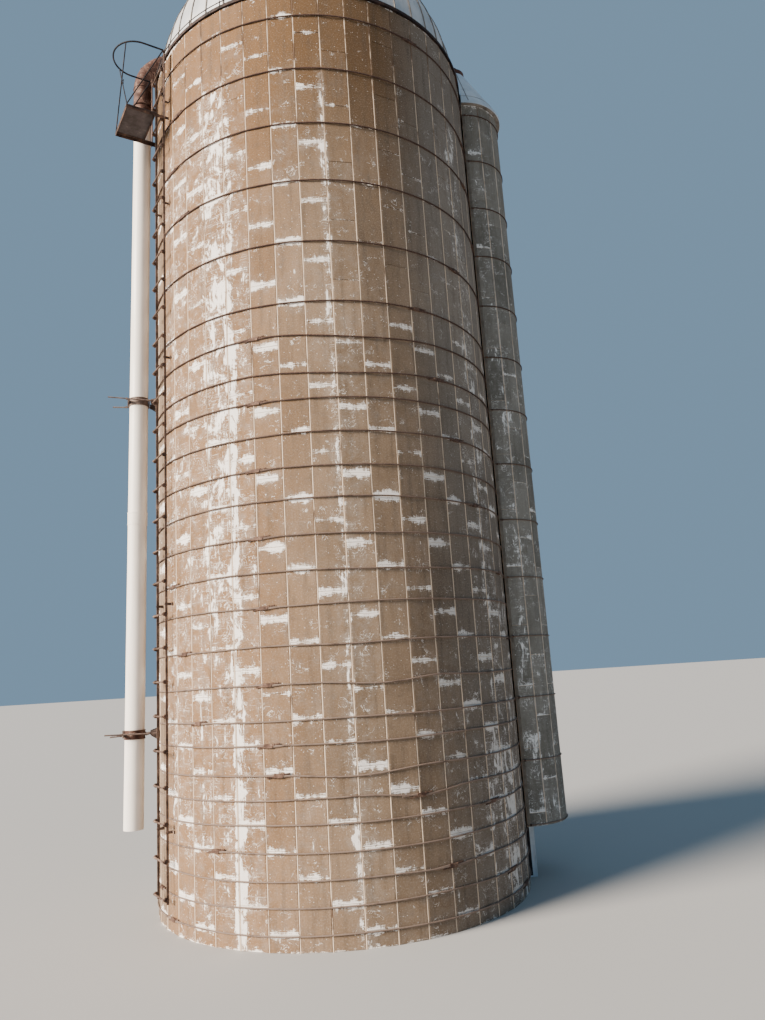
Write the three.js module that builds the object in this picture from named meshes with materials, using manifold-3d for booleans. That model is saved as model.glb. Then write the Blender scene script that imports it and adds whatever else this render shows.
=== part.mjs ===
// Farm tower silo of concrete staves with steel hoops, a sheet dome and an unloading chute.
// Millimetres, +Z up. The origin is on the silo's axis at ground level.
// Angles are in degrees, from -Y toward +X, seen from above.
import * as THREE from 'three';
import { mergeVertices } from 'three/addons/utils/BufferGeometryUtils.js';
import Module from 'manifold-3d';

const wasm = await Module();
wasm.setup();

const GAP = 0.3;
const STAVES = 44;
const STAVE_STEP = 360 / STAVES;
const STAVE_START = -4.08;
const WALL_OUT = 2246;
const WALL_IN = 2181;
const WALL_TOP = 10910;
const FLOOR_THICK = 150;

// The door column takes two stave widths on the chute's side.
const DOOR_FIRST = 11;
const DOOR_LAST = 13;
const STAVES_PER_PANEL = 3;
const JAMB_OUT = 2350;
const JAMB_THICK = 8;
const JAMB_TOP = 10860;
const DOOR_RUNG_R = 2300;
const DOOR_RUNG_FIRST = 657;
const DOOR_R = 2202;
const DOOR_THICK = 40;

// Hoop heights from the top down: 30 in apart, then 15 in, then 10 in, each set as it sits now.
const HOOPS_TOP = [10560, 9800, 9055, 8290, 7505, 6755];
const HOOPS_MIDDLE = [6355, 5925, 5607, 5215, 4830, 4475, 4080, 3706, 3348, 2930, 2534, 2173];
const HOOPS_BOTTOM = [1935, 1645, 1401, 1162, 907, 646, 400, 149];
const HOOP_DEEP = 15;
const HOOP_HIGH = 16;
const HOOP_REACH = 30;
const STRIP_NEAR = 1.2;
const STRIP_FAR = 2.4;
const STRIP_THICK = 7;

const RIM_LOW = 10868;
const RIM_HIGH = WALL_TOP + 30;
const RIM_DEEP = 26;

const DOME_OUT = 2215;
const DOME_THICK = 12;
const DOME_BASE = WALL_TOP + GAP;
const DOME_GORES = 48;
const DOME_START = -103;
const DOME_SECTORS = 6;
const DOME_EYE = 6.5;

const LADDER_AT = -60.5;
const LADDER_R = 2320;
const LADDER_HALF = 162;
const LADDER_DEEP = 30;
const LADDER_LOW = 300;
const LADDER_TOP = 10850;
const RUNG_FIRST = 355;
const RUNG_STEP = 381;
const RUNGS = 28;
const RUNG_HALF = 11;
const STILE_HALF = 4;
const LADDER_STAYS = [1030, 3520, 6560, 8680, 10180];

const DECK_AT = -62.5;
const DECK_HALF = 305;
const DECK_IN = 2412;
const DECK_OUT = 2795;
const DECK_Z = 9900;
const FRAME_HIGH = 40;
const FRAME_THICK = 12;
const UPRIGHT_R = 2306;
const RAIL_Z = 10885;
const RAIL_START = 2323;
const RAIL_OUT = 2890;
const RAIL_BEND = 2580;
const RAIL_HALF = 322;

const PIPE_AT = -74.5;
const PIPE_R = 114.3;
const YOKE_HALF = PIPE_R + 20;
const YOKE_BAR = 18;
const PIPE_BORE = 108;
const PIPE_JOINTS = [990, 2865, 4740, 6680, 8620, 10560];
const PIPE_LOW = PIPE_JOINTS[0];
const PIPE_TOP = PIPE_JOINTS[PIPE_JOINTS.length - 1];
const PIPE_OFF_TOP = 2435;
const PIPE_OFF_LOW = 2530;
const BRACKET_UPPER = 6190;
const BRACKET_LOWER = 2055;
const BRACKET_NEAR = 2860;
const BRACKET_FAR = 2800;
const NECK_BEND = 545;
const NECK_RISE = 10850;
const NECK_LOW = PIPE_TOP + 2;
const NECK_END = 1850;

const CHUTE_AT = 94.3;
const CHUTE_OFF = 2278;
const CHUTE_OUT = 600;
const CHUTE_IN = 535;
const CHUTE_STAVES = 8;
const CHUTE_HALF = 98.4;
const CHUTE_LOW = 640;
const CHUTE_TOP = 10740;
const CHUTE_HOOP_FIRST = 10563;
const CHUTE_HOOP_STEP = 762;
const CHUTE_HOOPS = 14;
const CHUTE_PEAK = 11660;
const EAVE_R = 655;
const PEAK_R = 175;

const rad = (deg) => deg * Math.PI / 180;
const at = (r, deg, z = 0) => new THREE.Vector3(r * Math.sin(rad(deg)), -r * Math.cos(rad(deg)), z);
const staveAngle = (k) => STAVE_START + k * STAVE_STEP;

// A point beside the radial line at an angle: out from the axis, along the wall, and up.
function beside(deg, out, along, z = 0) {
  const p = at(out, deg, z);
  p.x -= along * Math.cos(rad(deg));
  p.y -= along * Math.sin(rad(deg));
  return p;
}

const concrete = new THREE.MeshStandardMaterial({ color: 0x9a8168, roughness: 0.95, metalness: 0 });
const floorConcrete = new THREE.MeshStandardMaterial({ color: 0x8d877c, roughness: 0.95, metalness: 0 });
const rustySteel = new THREE.MeshStandardMaterial({ color: 0x4a342a, roughness: 0.85, metalness: 0.3 });
const frameSteel = new THREE.MeshStandardMaterial({ color: 0x8b97a3, roughness: 0.6, metalness: 0.4 });
const galvanized = new THREE.MeshStandardMaterial({ color: 0xc3c8cc, roughness: 0.45, metalness: 0.6 });
const whitePipe = new THREE.MeshStandardMaterial({ color: 0xece4d6, roughness: 0.5, metalness: 0 });
const rustRed = new THREE.MeshStandardMaterial({ color: 0x6b3a2c, roughness: 0.85, metalness: 0.2 });
const doorWood = new THREE.MeshStandardMaterial({ color: 0x8a7a64, roughness: 0.9, metalness: 0 });

const silo = new THREE.Group();

function signedVolume(pos, tri) {
  let v = 0;
  for (let i = 0; i < tri.length; i += 3) {
    const [a, b, c] = [tri[i] * 3, tri[i + 1] * 3, tri[i + 2] * 3];
    v += pos[a] * (pos[b + 1] * pos[c + 2] - pos[b + 2] * pos[c + 1])
      - pos[a + 1] * (pos[b] * pos[c + 2] - pos[b + 2] * pos[c])
      + pos[a + 2] * (pos[b] * pos[c + 1] - pos[b + 1] * pos[c]);
  }
  return v;
}

// A closed three.js geometry as a solid that can be joined and cut.
function solid(geometry) {
  geometry.deleteAttribute('normal');
  geometry.deleteAttribute('uv');
  const g = mergeVertices(geometry, 1e-3);
  const pos = new Float32Array(g.attributes.position.array);
  const all = g.index.array;
  const tri = [];
  for (let i = 0; i < all.length; i += 3) {
    const [a, b, c] = [all[i], all[i + 1], all[i + 2]];
    if (a !== b && b !== c && c !== a) tri.push(a, b, c);
  }
  if (signedVolume(pos, tri) < 0) {
    for (let i = 0; i < tri.length; i += 3) [tri[i + 1], tri[i + 2]] = [tri[i + 2], tri[i + 1]];
  }
  const mesh = new wasm.Mesh({ numProp: 3, vertProperties: pos, triVerts: new Uint32Array(tri) });
  return new wasm.Manifold(mesh);
}

function geometryOf(body) {
  const m = body.getMesh();
  const g = new THREE.BufferGeometry();
  g.setAttribute('position', new THREE.BufferAttribute(new Float32Array(m.vertProperties), 3));
  g.setIndex(new THREE.BufferAttribute(new Uint32Array(m.triVerts), 1));
  g.computeVertexNormals();
  return g;
}

function add(name, body, material) {
  const mesh = new THREE.Mesh(geometryOf(body), material);
  mesh.name = name;
  silo.add(mesh);
}

const joined = (bodies) => bodies.reduce((a, b) => a.add(b));

// An upright prism from a flat outline.
function prism(points, low, high) {
  const shape = new THREE.Shape(points.map((p) => new THREE.Vector2(p.x, p.y)));
  const g = new THREE.ExtrudeGeometry(shape, { depth: high - low, bevelEnabled: false });
  g.translate(0, 0, low);
  return solid(g);
}

// A ring turned about the silo's axis from a closed outline of [radius, height] pairs.
function turned(profile, segments, start) {
  const points = [...profile, profile[0]].map(([r, z]) => new THREE.Vector2(r, z));
  const g = new THREE.LatheGeometry(points, segments, rad(start));
  g.rotateX(Math.PI / 2);
  return solid(g);
}

// A box whose long sides run out from the axis, given by its middle.
function radialBox(deg, out, along, z, deep, wide, high) {
  const g = new THREE.BoxGeometry(wide, deep, high);
  g.rotateZ(rad(deg));
  const p = beside(deg, out, along, z);
  g.translate(p.x, p.y, p.z);
  return solid(g);
}

// A straight round bar between two points.
function bar(a, b, radius, sides) {
  const g = new THREE.CylinderGeometry(radius, radius, a.distanceTo(b), sides);
  const turn = new THREE.Quaternion();
  turn.setFromUnitVectors(new THREE.Vector3(0, 1, 0), b.clone().sub(a).normalize());
  g.applyQuaternion(turn);
  const mid = a.clone().add(b).multiplyScalar(0.5);
  g.translate(mid.x, mid.y, mid.z);
  return solid(g);
}

function staveOutline(first, last, inner, outer) {
  const shift = (GAP / 2 / WALL_OUT) * 180 / Math.PI;
  const points = [];
  for (let k = first; k <= last; k += 1) points.push(at(outer, edge(k, first, last, shift)));
  for (let k = last; k >= first; k -= 1) points.push(at(inner, edge(k, first, last, shift)));
  return points;
}

function edge(k, first, last, shift) {
  if (k === first) return staveAngle(k) + shift;
  if (k === last) return staveAngle(k) - shift;
  return staveAngle(k);
}

function floorSlab() {
  const points = [];
  for (let k = 0; k < STAVES; k += 1) points.push(at(WALL_IN - 2, staveAngle(k)));
  add('floor_slab', prism(points, 0, FLOOR_THICK), floorConcrete);
}

function wallPanels() {
  const count = (STAVES - (DOOR_LAST - DOOR_FIRST)) / STAVES_PER_PANEL;
  for (let i = 0; i < count; i += 1) {
    const first = DOOR_LAST + i * STAVES_PER_PANEL;
    const points = staveOutline(first, first + STAVES_PER_PANEL, WALL_IN, WALL_OUT);
    const name = 'wall_panel_' + String(i + 1).padStart(2, '0');
    add(name, prism(points, 0, WALL_TOP), concrete);
  }
}

const nearJamb = staveAngle(DOOR_FIRST);
const farJamb = staveAngle(DOOR_LAST);
const doorMiddle = (nearJamb + farJamb) / 2;

// Two upright plates and the rungs between them, in front of the doors.
function doorFrame() {
  const half = WALL_OUT * Math.sin(rad(STAVE_STEP)) - GAP - JAMB_THICK / 2 - 1;
  const mid = (WALL_IN + JAMB_OUT) / 2;
  const deep = JAMB_OUT - WALL_IN;
  const parts = [];
  for (const side of [-1, 1]) {
    parts.push(radialBox(doorMiddle, mid, side * (half - 9), JAMB_TOP / 2, deep, JAMB_THICK, JAMB_TOP));
  }
  for (let z = DOOR_RUNG_FIRST; z < JAMB_TOP; z += CHUTE_HOOP_STEP) {
    parts.push(radialBox(doorMiddle, DOOR_RUNG_R, 0, z, 24, 2 * half - 16, 24));
  }
  add('door_frame', joined(parts), frameSteel);
}

// The stack of doors, as one slab between the jambs.
function doors() {
  const half = WALL_OUT * Math.sin(rad(STAVE_STEP)) - 27;
  add('doors', radialBox(doorMiddle, DOOR_R, 0, WALL_TOP / 2, DOOR_THICK, 2 * half, WALL_TOP), doorWood);
}

// Rods hugging the staves, with their ends on a flat strip beside each door jamb.
function wallHoops() {
  const heights = [...HOOPS_TOP, ...HOOPS_MIDDLE, ...HOOPS_BOTTOM];
  const inner = WALL_OUT + GAP;
  const rings = heights.map((z) => turned(
    [[inner, z - HOOP_HIGH / 2], [inner + HOOP_DEEP, z], [inner, z + HOOP_HIGH / 2]], STAVES, STAVE_START));
  const reach = WALL_OUT + 150;
  const gap = prism([at(100, doorMiddle), at(reach, farJamb + STRIP_NEAR), at(reach, doorMiddle),
    at(reach, nearJamb - STRIP_NEAR)], 0, WALL_TOP);
  const low = Math.min(...heights) - HOOP_REACH;
  const high = Math.max(...heights) + HOOP_REACH;
  const strips = [anchorStrip(DOOR_LAST, 1, low, high), anchorStrip(DOOR_FIRST, -1, low, high)];
  add('hoops', joined([...rings.map((ring) => ring.subtract(gap)), ...strips]), rustySteel);
}

// A flat strip on the first stave beside a jamb. way is 1 beyond the joint and -1 before it.
function anchorStrip(joint, way, low, high) {
  const face = WALL_OUT * Math.cos(rad(STAVE_STEP / 2)) + GAP;
  const r = (deg) => face / Math.cos(rad(STAVE_STEP / 2 - deg));
  const a = staveAngle(joint) + way * STRIP_NEAR;
  const b = staveAngle(joint) + way * STRIP_FAR;
  return prism([at(r(STRIP_NEAR), a), at(r(STRIP_FAR), b),
    at(r(STRIP_FAR) + STRIP_THICK, b), at(r(STRIP_NEAR) + STRIP_THICK, a)], low, high);
}

function roofRim() {
  const inner = WALL_OUT + GAP;
  const outer = inner + RIM_DEEP;
  const profile = [[inner, RIM_LOW], [outer, RIM_LOW], [outer, RIM_HIGH], [inner, RIM_HIGH]];
  add('roof_rim', turned(profile, STAVES, STAVE_START), rustySteel);
}

function domeShell() {
  const steps = 5;
  const profile = [];
  for (let i = 0; i <= steps; i += 1) {
    const a = rad(90 - (90 - DOME_EYE) * i / steps);
    profile.push([DOME_OUT * Math.sin(a), DOME_BASE + DOME_OUT * Math.cos(a)]);
  }
  const inner = DOME_OUT - DOME_THICK;
  for (let i = steps; i >= 0; i -= 1) {
    const a = rad(90 - (90 - DOME_EYE) * i / steps);
    profile.push([inner * Math.sin(a), DOME_BASE + inner * Math.cos(a)]);
  }
  return turned(profile, DOME_GORES, DOME_START);
}

// The dome in six sectors of eight gores, the first one open for the fill pipe's elbow.
function domeSectors() {
  const shell = domeShell();
  const span = 360 / DOME_SECTORS;
  for (let i = 0; i < DOME_SECTORS; i += 1) {
    const mid = DOME_START + (i + 0.5) * span;
    const tip = at(GAP, mid);
    const outline = [tip, at(4000, mid - span / 2 + 0.004), at(4000, mid), at(4000, mid + span / 2 - 0.004)];
    let sector = shell.intersect(prism(outline, WALL_TOP - 10, 14000));
    if (i === 0) sector = sector.subtract(alongElbow(ringShape(PIPE_R + 22), NECK_END - 150));
    add('roof_sector_' + (i + 1), sector, galvanized);
  }
}

function roofCap() {
  const seat = DOME_BASE + DOME_OUT * Math.cos(rad(DOME_EYE)) + GAP;
  const profile = [[0, seat], [300, seat], [300, seat + 8], [170, seat + 30], [170, seat + 52],
    [0, seat + 58]];
  add('roof_cap', turned(profile, 24, 0), galvanized);
}

// Two stiles joined by rungs, cut from one outline, with stays back to the wall.
function ladder() {
  const shape = new THREE.Shape();
  const side = LADDER_HALF + STILE_HALF;
  shape.moveTo(-side, LADDER_LOW);
  shape.lineTo(side, LADDER_LOW);
  shape.lineTo(side, LADDER_TOP);
  shape.lineTo(-side, LADDER_TOP);
  for (let i = 0; i + 1 < RUNGS; i += 1) shape.holes.push(rungGap(RUNG_FIRST + i * RUNG_STEP));
  const g = new THREE.ExtrudeGeometry(shape, { depth: LADDER_DEEP, bevelEnabled: false });
  g.rotateX(Math.PI / 2);
  g.rotateZ(rad(LADDER_AT));
  const p = at(LADDER_R - LADDER_DEEP / 2, LADDER_AT);
  g.translate(p.x, p.y, 0);
  const parts = [solid(g)];
  const inner = WALL_OUT + 2;
  const outer = LADDER_R - LADDER_DEEP / 2 + 4;
  for (const along of [-1, 1]) {
    for (const z of LADDER_STAYS) {
      parts.push(radialBox(LADDER_AT, (inner + outer) / 2, along * LADDER_HALF, z, outer - inner, 6, 30));
    }
  }
  add('ladder', joined(parts), rustySteel);
}

function rungGap(z) {
  const side = LADDER_HALF - STILE_HALF;
  const gap = new THREE.Path();
  gap.moveTo(-side, z + RUNG_HALF);
  gap.lineTo(-side, z + RUNG_STEP - RUNG_HALF);
  gap.lineTo(side, z + RUNG_STEP - RUNG_HALF);
  gap.lineTo(side, z + RUNG_HALF);
  return gap;
}

function platform() {
  const deep = DECK_OUT - DECK_IN;
  const mid = (DECK_OUT + DECK_IN) / 2;
  add('platform_deck', radialBox(DECK_AT, mid, 0, DECK_Z + 4, deep, 2 * DECK_HALF + 20, 8), rustRed);
  const inner = WALL_OUT + 3;
  const barZ = DECK_Z - FRAME_HIGH / 2 - GAP;
  const foot = DECK_Z - FRAME_HIGH;
  const head = RAIL_Z + 20;
  const parts = [];
  for (const side of [-1, 1]) {
    const along = side * DECK_HALF;
    const out = (inner + DECK_OUT) / 2;
    parts.push(radialBox(DECK_AT, out, along, barZ, DECK_OUT - inner, FRAME_THICK, FRAME_HIGH));
    parts.push(radialBox(DECK_AT, UPRIGHT_R, along, (foot + head) / 2, 10, 50, head - foot));
  }
  for (const out of [DECK_OUT - FRAME_THICK / 2, DECK_IN + 20]) {
    parts.push(radialBox(DECK_AT, out, 0, barZ, FRAME_THICK, 2 * DECK_HALF, FRAME_HIGH));
  }
  add('platform_frame', joined(parts), rustySteel);
}

// The U of round bar above the deck: out, round and back.
class RailLine extends THREE.Curve {
  getPoint(t) {
    const run = RAIL_BEND - RAIL_START;
    const turn = 360;
    const s = t * (2 * run + 2 * turn);
    if (s <= run) return beside(DECK_AT, RAIL_START + s, -RAIL_HALF, RAIL_Z);
    if (s >= run + 2 * turn) return beside(DECK_AT, RAIL_BEND - (s - run - 2 * turn), RAIL_HALF, RAIL_Z);
    const a = -Math.PI / 2 + Math.PI * (s - run) / (2 * turn);
    return beside(DECK_AT, RAIL_BEND + (RAIL_OUT - RAIL_BEND) * Math.cos(a), RAIL_HALF * Math.sin(a), RAIL_Z);
  }
}

// The guard rail with crossed braces at its outer end and one brace each side.
function guardRail() {
  const round = new THREE.Shape(regular(10, 6));
  const line = new RailLine();
  const along = { steps: 16, extrudePath: line, bevelEnabled: false };
  const parts = [solid(new THREE.ExtrudeGeometry(round, along))];
  const foot = DECK_Z + 15;
  const nearFoot = beside(DECK_AT, DECK_OUT - 8, -DECK_HALF, foot);
  const farFoot = beside(DECK_AT, DECK_OUT - 8, DECK_HALF, foot);
  parts.push(bar(line.getPoint(0.38), farFoot, 8, 5));
  parts.push(bar(line.getPoint(0.66), nearFoot, 8, 5));
  parts.push(bar(line.getPoint(0), nearFoot, 8, 5));
  parts.push(bar(line.getPoint(1), farFoot, 8, 5));
  add('guard_rail', joined(parts), rustySteel);
}

function regular(radius, sides) {
  const points = [];
  for (let i = 0; i < sides; i += 1) {
    const a = 2 * Math.PI * i / sides;
    points.push(new THREE.Vector2(radius * Math.cos(a), radius * Math.sin(a)));
  }
  return points;
}

const pipeLean = (PIPE_OFF_TOP - PIPE_OFF_LOW) / (PIPE_TOP - PIPE_LOW);
const pipeOffset = (z) => PIPE_OFF_LOW + pipeLean * (z - PIPE_LOW);

function fillPipe() {
  PIPE_JOINTS.slice(1).forEach((high, i) => {
    const low = PIPE_JOINTS[i] + (i > 0 ? GAP : 0);
    pipeLength('fill_pipe_' + (i + 1), low, high);
  });
}

function pipeLength(name, low, high) {
  const a = at(pipeOffset(low), PIPE_AT, low);
  const b = at(pipeOffset(high), PIPE_AT, high);
  const over = b.clone().sub(a).normalize().multiplyScalar(20);
  const bore = bar(a.clone().sub(over), b.clone().add(over), PIPE_BORE, 20);
  add(name, bar(a, b, PIPE_R, 20).subtract(bore), whitePipe);
}

// Two bars past the pipe, a cross bar before and behind it, and a plate on the wall.
function pipeBracket(name, z) {
  const off = pipeOffset(z);
  const inner = WALL_OUT + 4;
  const parts = [radialBox(PIPE_AT, WALL_OUT + 8, 0, z, 8, 2 * (PIPE_R + 45), 70)];
  for (const [side, reach] of [[-1, BRACKET_NEAR], [1, BRACKET_FAR]]) {
    const middle = (reach + inner) / 2;
    parts.push(radialBox(PIPE_AT, middle, side * YOKE_HALF, z, reach - inner, YOKE_BAR, YOKE_BAR));
    parts.push(radialBox(PIPE_AT, off + side * (PIPE_R + 14), 0, z, 20, 2 * YOKE_HALF, 40));
  }
  add(name, joined(parts), rustySteel);
}

// The middle line of the elbow: up, a quarter turn toward the axis, then level.
class ElbowLine extends THREE.Curve {
  constructor(low, end) {
    super();
    this.low = low;
    this.rise = NECK_RISE - low;
    this.turn = NECK_BEND * Math.PI / 2;
    this.level = PIPE_OFF_TOP - NECK_BEND - end;
  }

  getPoint(t) {
    const s = t * (this.rise + this.turn + this.level);
    if (s < this.rise) return at(PIPE_OFF_TOP, PIPE_AT, this.low + s);
    const a = Math.min((s - this.rise) / NECK_BEND, Math.PI / 2);
    const on = Math.max(s - this.rise - this.turn, 0);
    const out = PIPE_OFF_TOP - NECK_BEND + NECK_BEND * Math.cos(a) - on;
    return at(out, PIPE_AT, NECK_RISE + NECK_BEND * Math.sin(a));
  }
}

function ringShape(outer, inner = 0) {
  const shape = new THREE.Shape().absarc(0, 0, outer, 0, Math.PI * 2);
  if (inner > 0) shape.holes.push(new THREE.Path().absarc(0, 0, inner, 0, Math.PI * 2, true));
  return shape;
}

function alongElbow(shape, end) {
  const path = new ElbowLine(NECK_LOW, end);
  const along = { steps: 9, curveSegments: 6, extrudePath: path, bevelEnabled: false };
  return solid(new THREE.ExtrudeGeometry(shape, along));
}

// The elbow from the top of the pipe in through the dome, with a flange at its foot.
function gooseneck() {
  const low = NECK_LOW;
  const tube = alongElbow(ringShape(PIPE_R + 8, PIPE_R + 2), NECK_END);
  const foot = at(PIPE_OFF_TOP, PIPE_AT, low);
  const flange = bar(foot, at(PIPE_OFF_TOP, PIPE_AT, low + 60), PIPE_R + 22, 16);
  const hole = bar(at(PIPE_OFF_TOP, PIPE_AT, low - 10), at(PIPE_OFF_TOP, PIPE_AT, low + 90), PIPE_R + 4, 16);
  add('gooseneck', tube.add(flange.subtract(hole)), rustRed);
}

const chuteMiddle = at(CHUTE_OFF, CHUTE_AT);
function chutePoint(r, deg) {
  return at(r, CHUTE_AT + deg).add(chuteMiddle);
}

function chuteOutline(first, last, inner, outer, trim) {
  const step = 2 * CHUTE_HALF / CHUTE_STAVES;
  const points = [];
  const angle = (j) => -CHUTE_HALF + j * step + (j === first ? trim : 0) - (j === last ? trim : 0);
  for (let j = first; j <= last; j += 1) points.push(chutePoint(outer, angle(j)));
  for (let j = last; j >= first; j -= 1) points.push(chutePoint(inner, angle(j)));
  return points;
}

function chutePanels() {
  for (let i = 0; i < CHUTE_STAVES / 2; i += 1) {
    const points = chuteOutline(2 * i, 2 * i + 2, CHUTE_IN, CHUTE_OUT, 0.02);
    add('chute_panel_' + (i + 1), prism(points, CHUTE_LOW, CHUTE_TOP), concrete);
  }
}

function chuteHoops() {
  const inner = CHUTE_OUT + GAP;
  const parts = [];
  for (let i = 0; i < CHUTE_HOOPS; i += 1) {
    const z = Math.max(CHUTE_HOOP_FIRST - i * CHUTE_HOOP_STEP, CHUTE_LOW + 22);
    parts.push(prism(chuteOutline(0, CHUTE_STAVES, inner, inner + 13, 0.3), z - 7, z + 7));
  }
  const step = 2 * CHUTE_HALF / CHUTE_STAVES;
  for (const side of [-1, 1]) {
    const a = side * (CHUTE_HALF - 0.3);
    const b = side * (CHUTE_HALF - 4);
    const face = inner * Math.cos(rad(step / 2));
    const r = (deg) => face / Math.cos(rad(step / 2 - (CHUTE_HALF - Math.abs(deg))));
    const points = [chutePoint(r(a), a), chutePoint(r(b), b),
      chutePoint(r(b) + 6, b), chutePoint(r(a) + 6, a)];
    parts.push(prism(points, CHUTE_LOW + 4, CHUTE_HOOP_FIRST + 20));
  }
  add('chute_hoops', joined(parts), rustySteel);
}

function aboutChute(profile, segments) {
  const points = [...profile, profile[0]].map(([r, z]) => new THREE.Vector2(r, z));
  const g = new THREE.LatheGeometry(points, segments);
  g.rotateX(Math.PI / 2);
  g.translate(chuteMiddle.x, chuteMiddle.y, 0);
  return solid(g);
}

// A sheet cone over the chute, cut back where it meets the dome and its rim.
function chuteRoof() {
  const eave = CHUTE_TOP + GAP;
  const peak = CHUTE_PEAK;
  const profile = [[EAVE_R - 15, eave], [EAVE_R, eave], [EAVE_R, eave + 40], [PEAK_R, peak],
    [PEAK_R - 12, peak], [PEAK_R - 12, peak - 14], [EAVE_R - 27, eave + 28], [EAVE_R - 27, eave]];
  const cone = aboutChute(profile, 24);
  const ball = new THREE.SphereGeometry(DOME_OUT + 32, 48, 24);
  ball.translate(0, 0, DOME_BASE);
  const dome = solid(ball);
  const clear = WALL_OUT + 34;
  const low = CHUTE_TOP - 740;
  const high = RIM_HIGH + 10;
  const rim = turned([[0, low], [clear, low], [clear, high], [0, high]], STAVES, STAVE_START);
  add('chute_roof', cone.subtract(dome).subtract(rim), galvanized);
  const capR = PEAK_R + 2;
  const cap = [[0, peak + GAP], [capR, peak + GAP], [capR, peak + 70], [100, peak + 100],
    [90, peak + 175], [0, peak + 190]];
  add('chute_roof_cap', aboutChute(cap, 16).subtract(dome), rustRed);
}

floorSlab();
wallPanels();
doorFrame();
doors();
wallHoops();
roofRim();
domeSectors();
roofCap();
ladder();
platform();
guardRail();
fillPipe();
pipeBracket('pipe_bracket_upper', BRACKET_UPPER);
pipeBracket('pipe_bracket_lower', BRACKET_LOWER);
gooseneck();
chutePanels();
chuteHoops();
chuteRoof();

export default silo;
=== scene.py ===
"""Looks of the grain silo: staves, hoops, dome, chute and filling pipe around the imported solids."""

import math
import random

import bpy
from mathutils import Matrix, Vector


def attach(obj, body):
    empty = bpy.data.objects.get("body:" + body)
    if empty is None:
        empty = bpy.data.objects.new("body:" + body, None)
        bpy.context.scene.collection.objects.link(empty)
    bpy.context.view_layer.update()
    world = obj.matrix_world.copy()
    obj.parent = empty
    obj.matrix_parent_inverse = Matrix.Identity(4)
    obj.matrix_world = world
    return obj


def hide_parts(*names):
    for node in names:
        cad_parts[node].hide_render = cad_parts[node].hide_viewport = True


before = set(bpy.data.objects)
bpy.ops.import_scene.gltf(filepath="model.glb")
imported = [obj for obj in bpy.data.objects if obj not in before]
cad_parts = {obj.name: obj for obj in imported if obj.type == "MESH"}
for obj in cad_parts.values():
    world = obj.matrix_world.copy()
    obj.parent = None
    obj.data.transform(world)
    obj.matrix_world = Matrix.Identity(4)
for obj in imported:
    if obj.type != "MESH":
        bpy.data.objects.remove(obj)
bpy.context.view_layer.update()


def sine(degrees):
    return math.sin(math.radians(degrees))


def cosine(degrees):
    return math.cos(math.radians(degrees))


# Metres, and degrees from -Y toward +X, as in the part's source.
STAVES = 44
STAVE_STEP = 360 / STAVES
STAVE_START = -4.08
WALL_OUT = 2.246
WALL_FACE = WALL_OUT * cosine(STAVE_STEP / 2)
WALL_TOP = 10.910
STAVE_WIDE = 2 * WALL_OUT * sine(STAVE_STEP / 2)
STAVE_HIGH = 0.762
STAVE_THICK = 0.05
SIDE_JOINT = 0.018
END_JOINT = 0.003
BEAD_WIDE = 0.0125
CORE_BACK = 0.009
FIRST_JOINTS = (10.320, 10.828, 10.574)
SLIVER = 0.1
PANEL_STAVES = 3
DOOR_FIRST = 11
DOOR_LAST = 13
NEAR_JAMB = STAVE_START + DOOR_FIRST * STAVE_STEP
FAR_JAMB = STAVE_START + DOOR_LAST * STAVE_STEP
DOOR_R = 2.202
SHADOW_STRIP_R = 2.264

# Streaks of whitewash: middle and half width in staves, foot and head in metres, strength.
WASH_TURN = 22.0
WASH_STREAKS = ((-2.90, 0.23, 0.2, 6.7, 0.80), (-2.92, 0.22, 6.4, 9.3, 0.68),
                (-3.50, 0.62, 3.2, 9.6, 0.62), (-3.00, 0.90, 0.4, 8.8, 0.44),
                (-5.10, 1.30, 1.0, 9.2, 0.42), (0.92, 0.15, 0.2, 9.5, 0.62), (1.10, 0.50, 0.2, 6.4, 0.34),
                (7.20, 0.50, 0.2, 9.6, 0.50), (8.70, 1.20, 0.0, 3.2, 0.44), (5.60, 1.60, 0.0, 2.6, 0.28))
# How much whitewash the staves of a column keep, and the heights above which it and its bars get less.
WASH_KEPT = {-7: 0.20, -6: 0.26, -5: 0.24, -4: 0.26, -3: 0.24, 4: 0.14, 5: 0.18, 6: 0.26, 7: 0.34}
WASH_FADES = 8.6
BARS_FADE = 6.0
BARS_GO = 6.7
BARS_HIGH = 9.5

HOOPS = (10.560, 9.800, 9.055, 8.290, 7.505, 6.755,
         6.355, 5.925, 5.607, 5.215, 4.830, 4.475, 4.080, 3.706, 3.348, 2.930, 2.534, 2.173,
         1.935, 1.645, 1.401, 1.162, 0.907, 0.646, 0.400, 0.149)
# Where each hoop's first pair of rod ends meets, and where a hoop has slipped: middle, half width, drop.
LUGS = (-84, 70, -54.3, -46.7, -70, 30.7,
        -19.7, 36.3, -19.7, 43.3, -20.3, 50.3, -20.0, -54.2, -19.1, -48.0, -18.7, -42,
        -18.9, -16.4, 20.7, -74, -36, 28.8, -66, 64)
SLIPS = {6: ((10, 26, 0.040), (-22, 24, -0.015)), 7: ((4, 30, 0.034),), 13: ((24, 30, 0.022),),
         14: ((-4, 40, 0.012),), 15: ((2, 24, 0.022),), 16: ((12, 18, 0.040), (30, 14, -0.012)),
         18: ((20, 40, 0.010),), 19: ((5, 22, 0.048),), 20: ((21, 16, 0.044), (42, 14, -0.008)),
         22: ((14, 30, 0.014),), 23: ((27, 18, 0.018),)}
HOOP_ROD = 0.0085
HOOP_R = WALL_OUT + HOOP_ROD
HOOP_END = 1.2
STRIP_AT = 1.8

DOME_R = 2.203
DOME_BASE = 10.911
DOME_SECTORS = 6
SECTOR_GORES = 8
DOME_START = -103
DOME_EYE = 6.5
CAP_R = 0.298
SHEET = 0.003

RIM_Z = 10.9165
RIM_RAIL_FROM = -96
RIM_RAIL_TO = -14
RIM_RAIL_R = 2.262
RIM_RAIL_Z = 11.010

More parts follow.
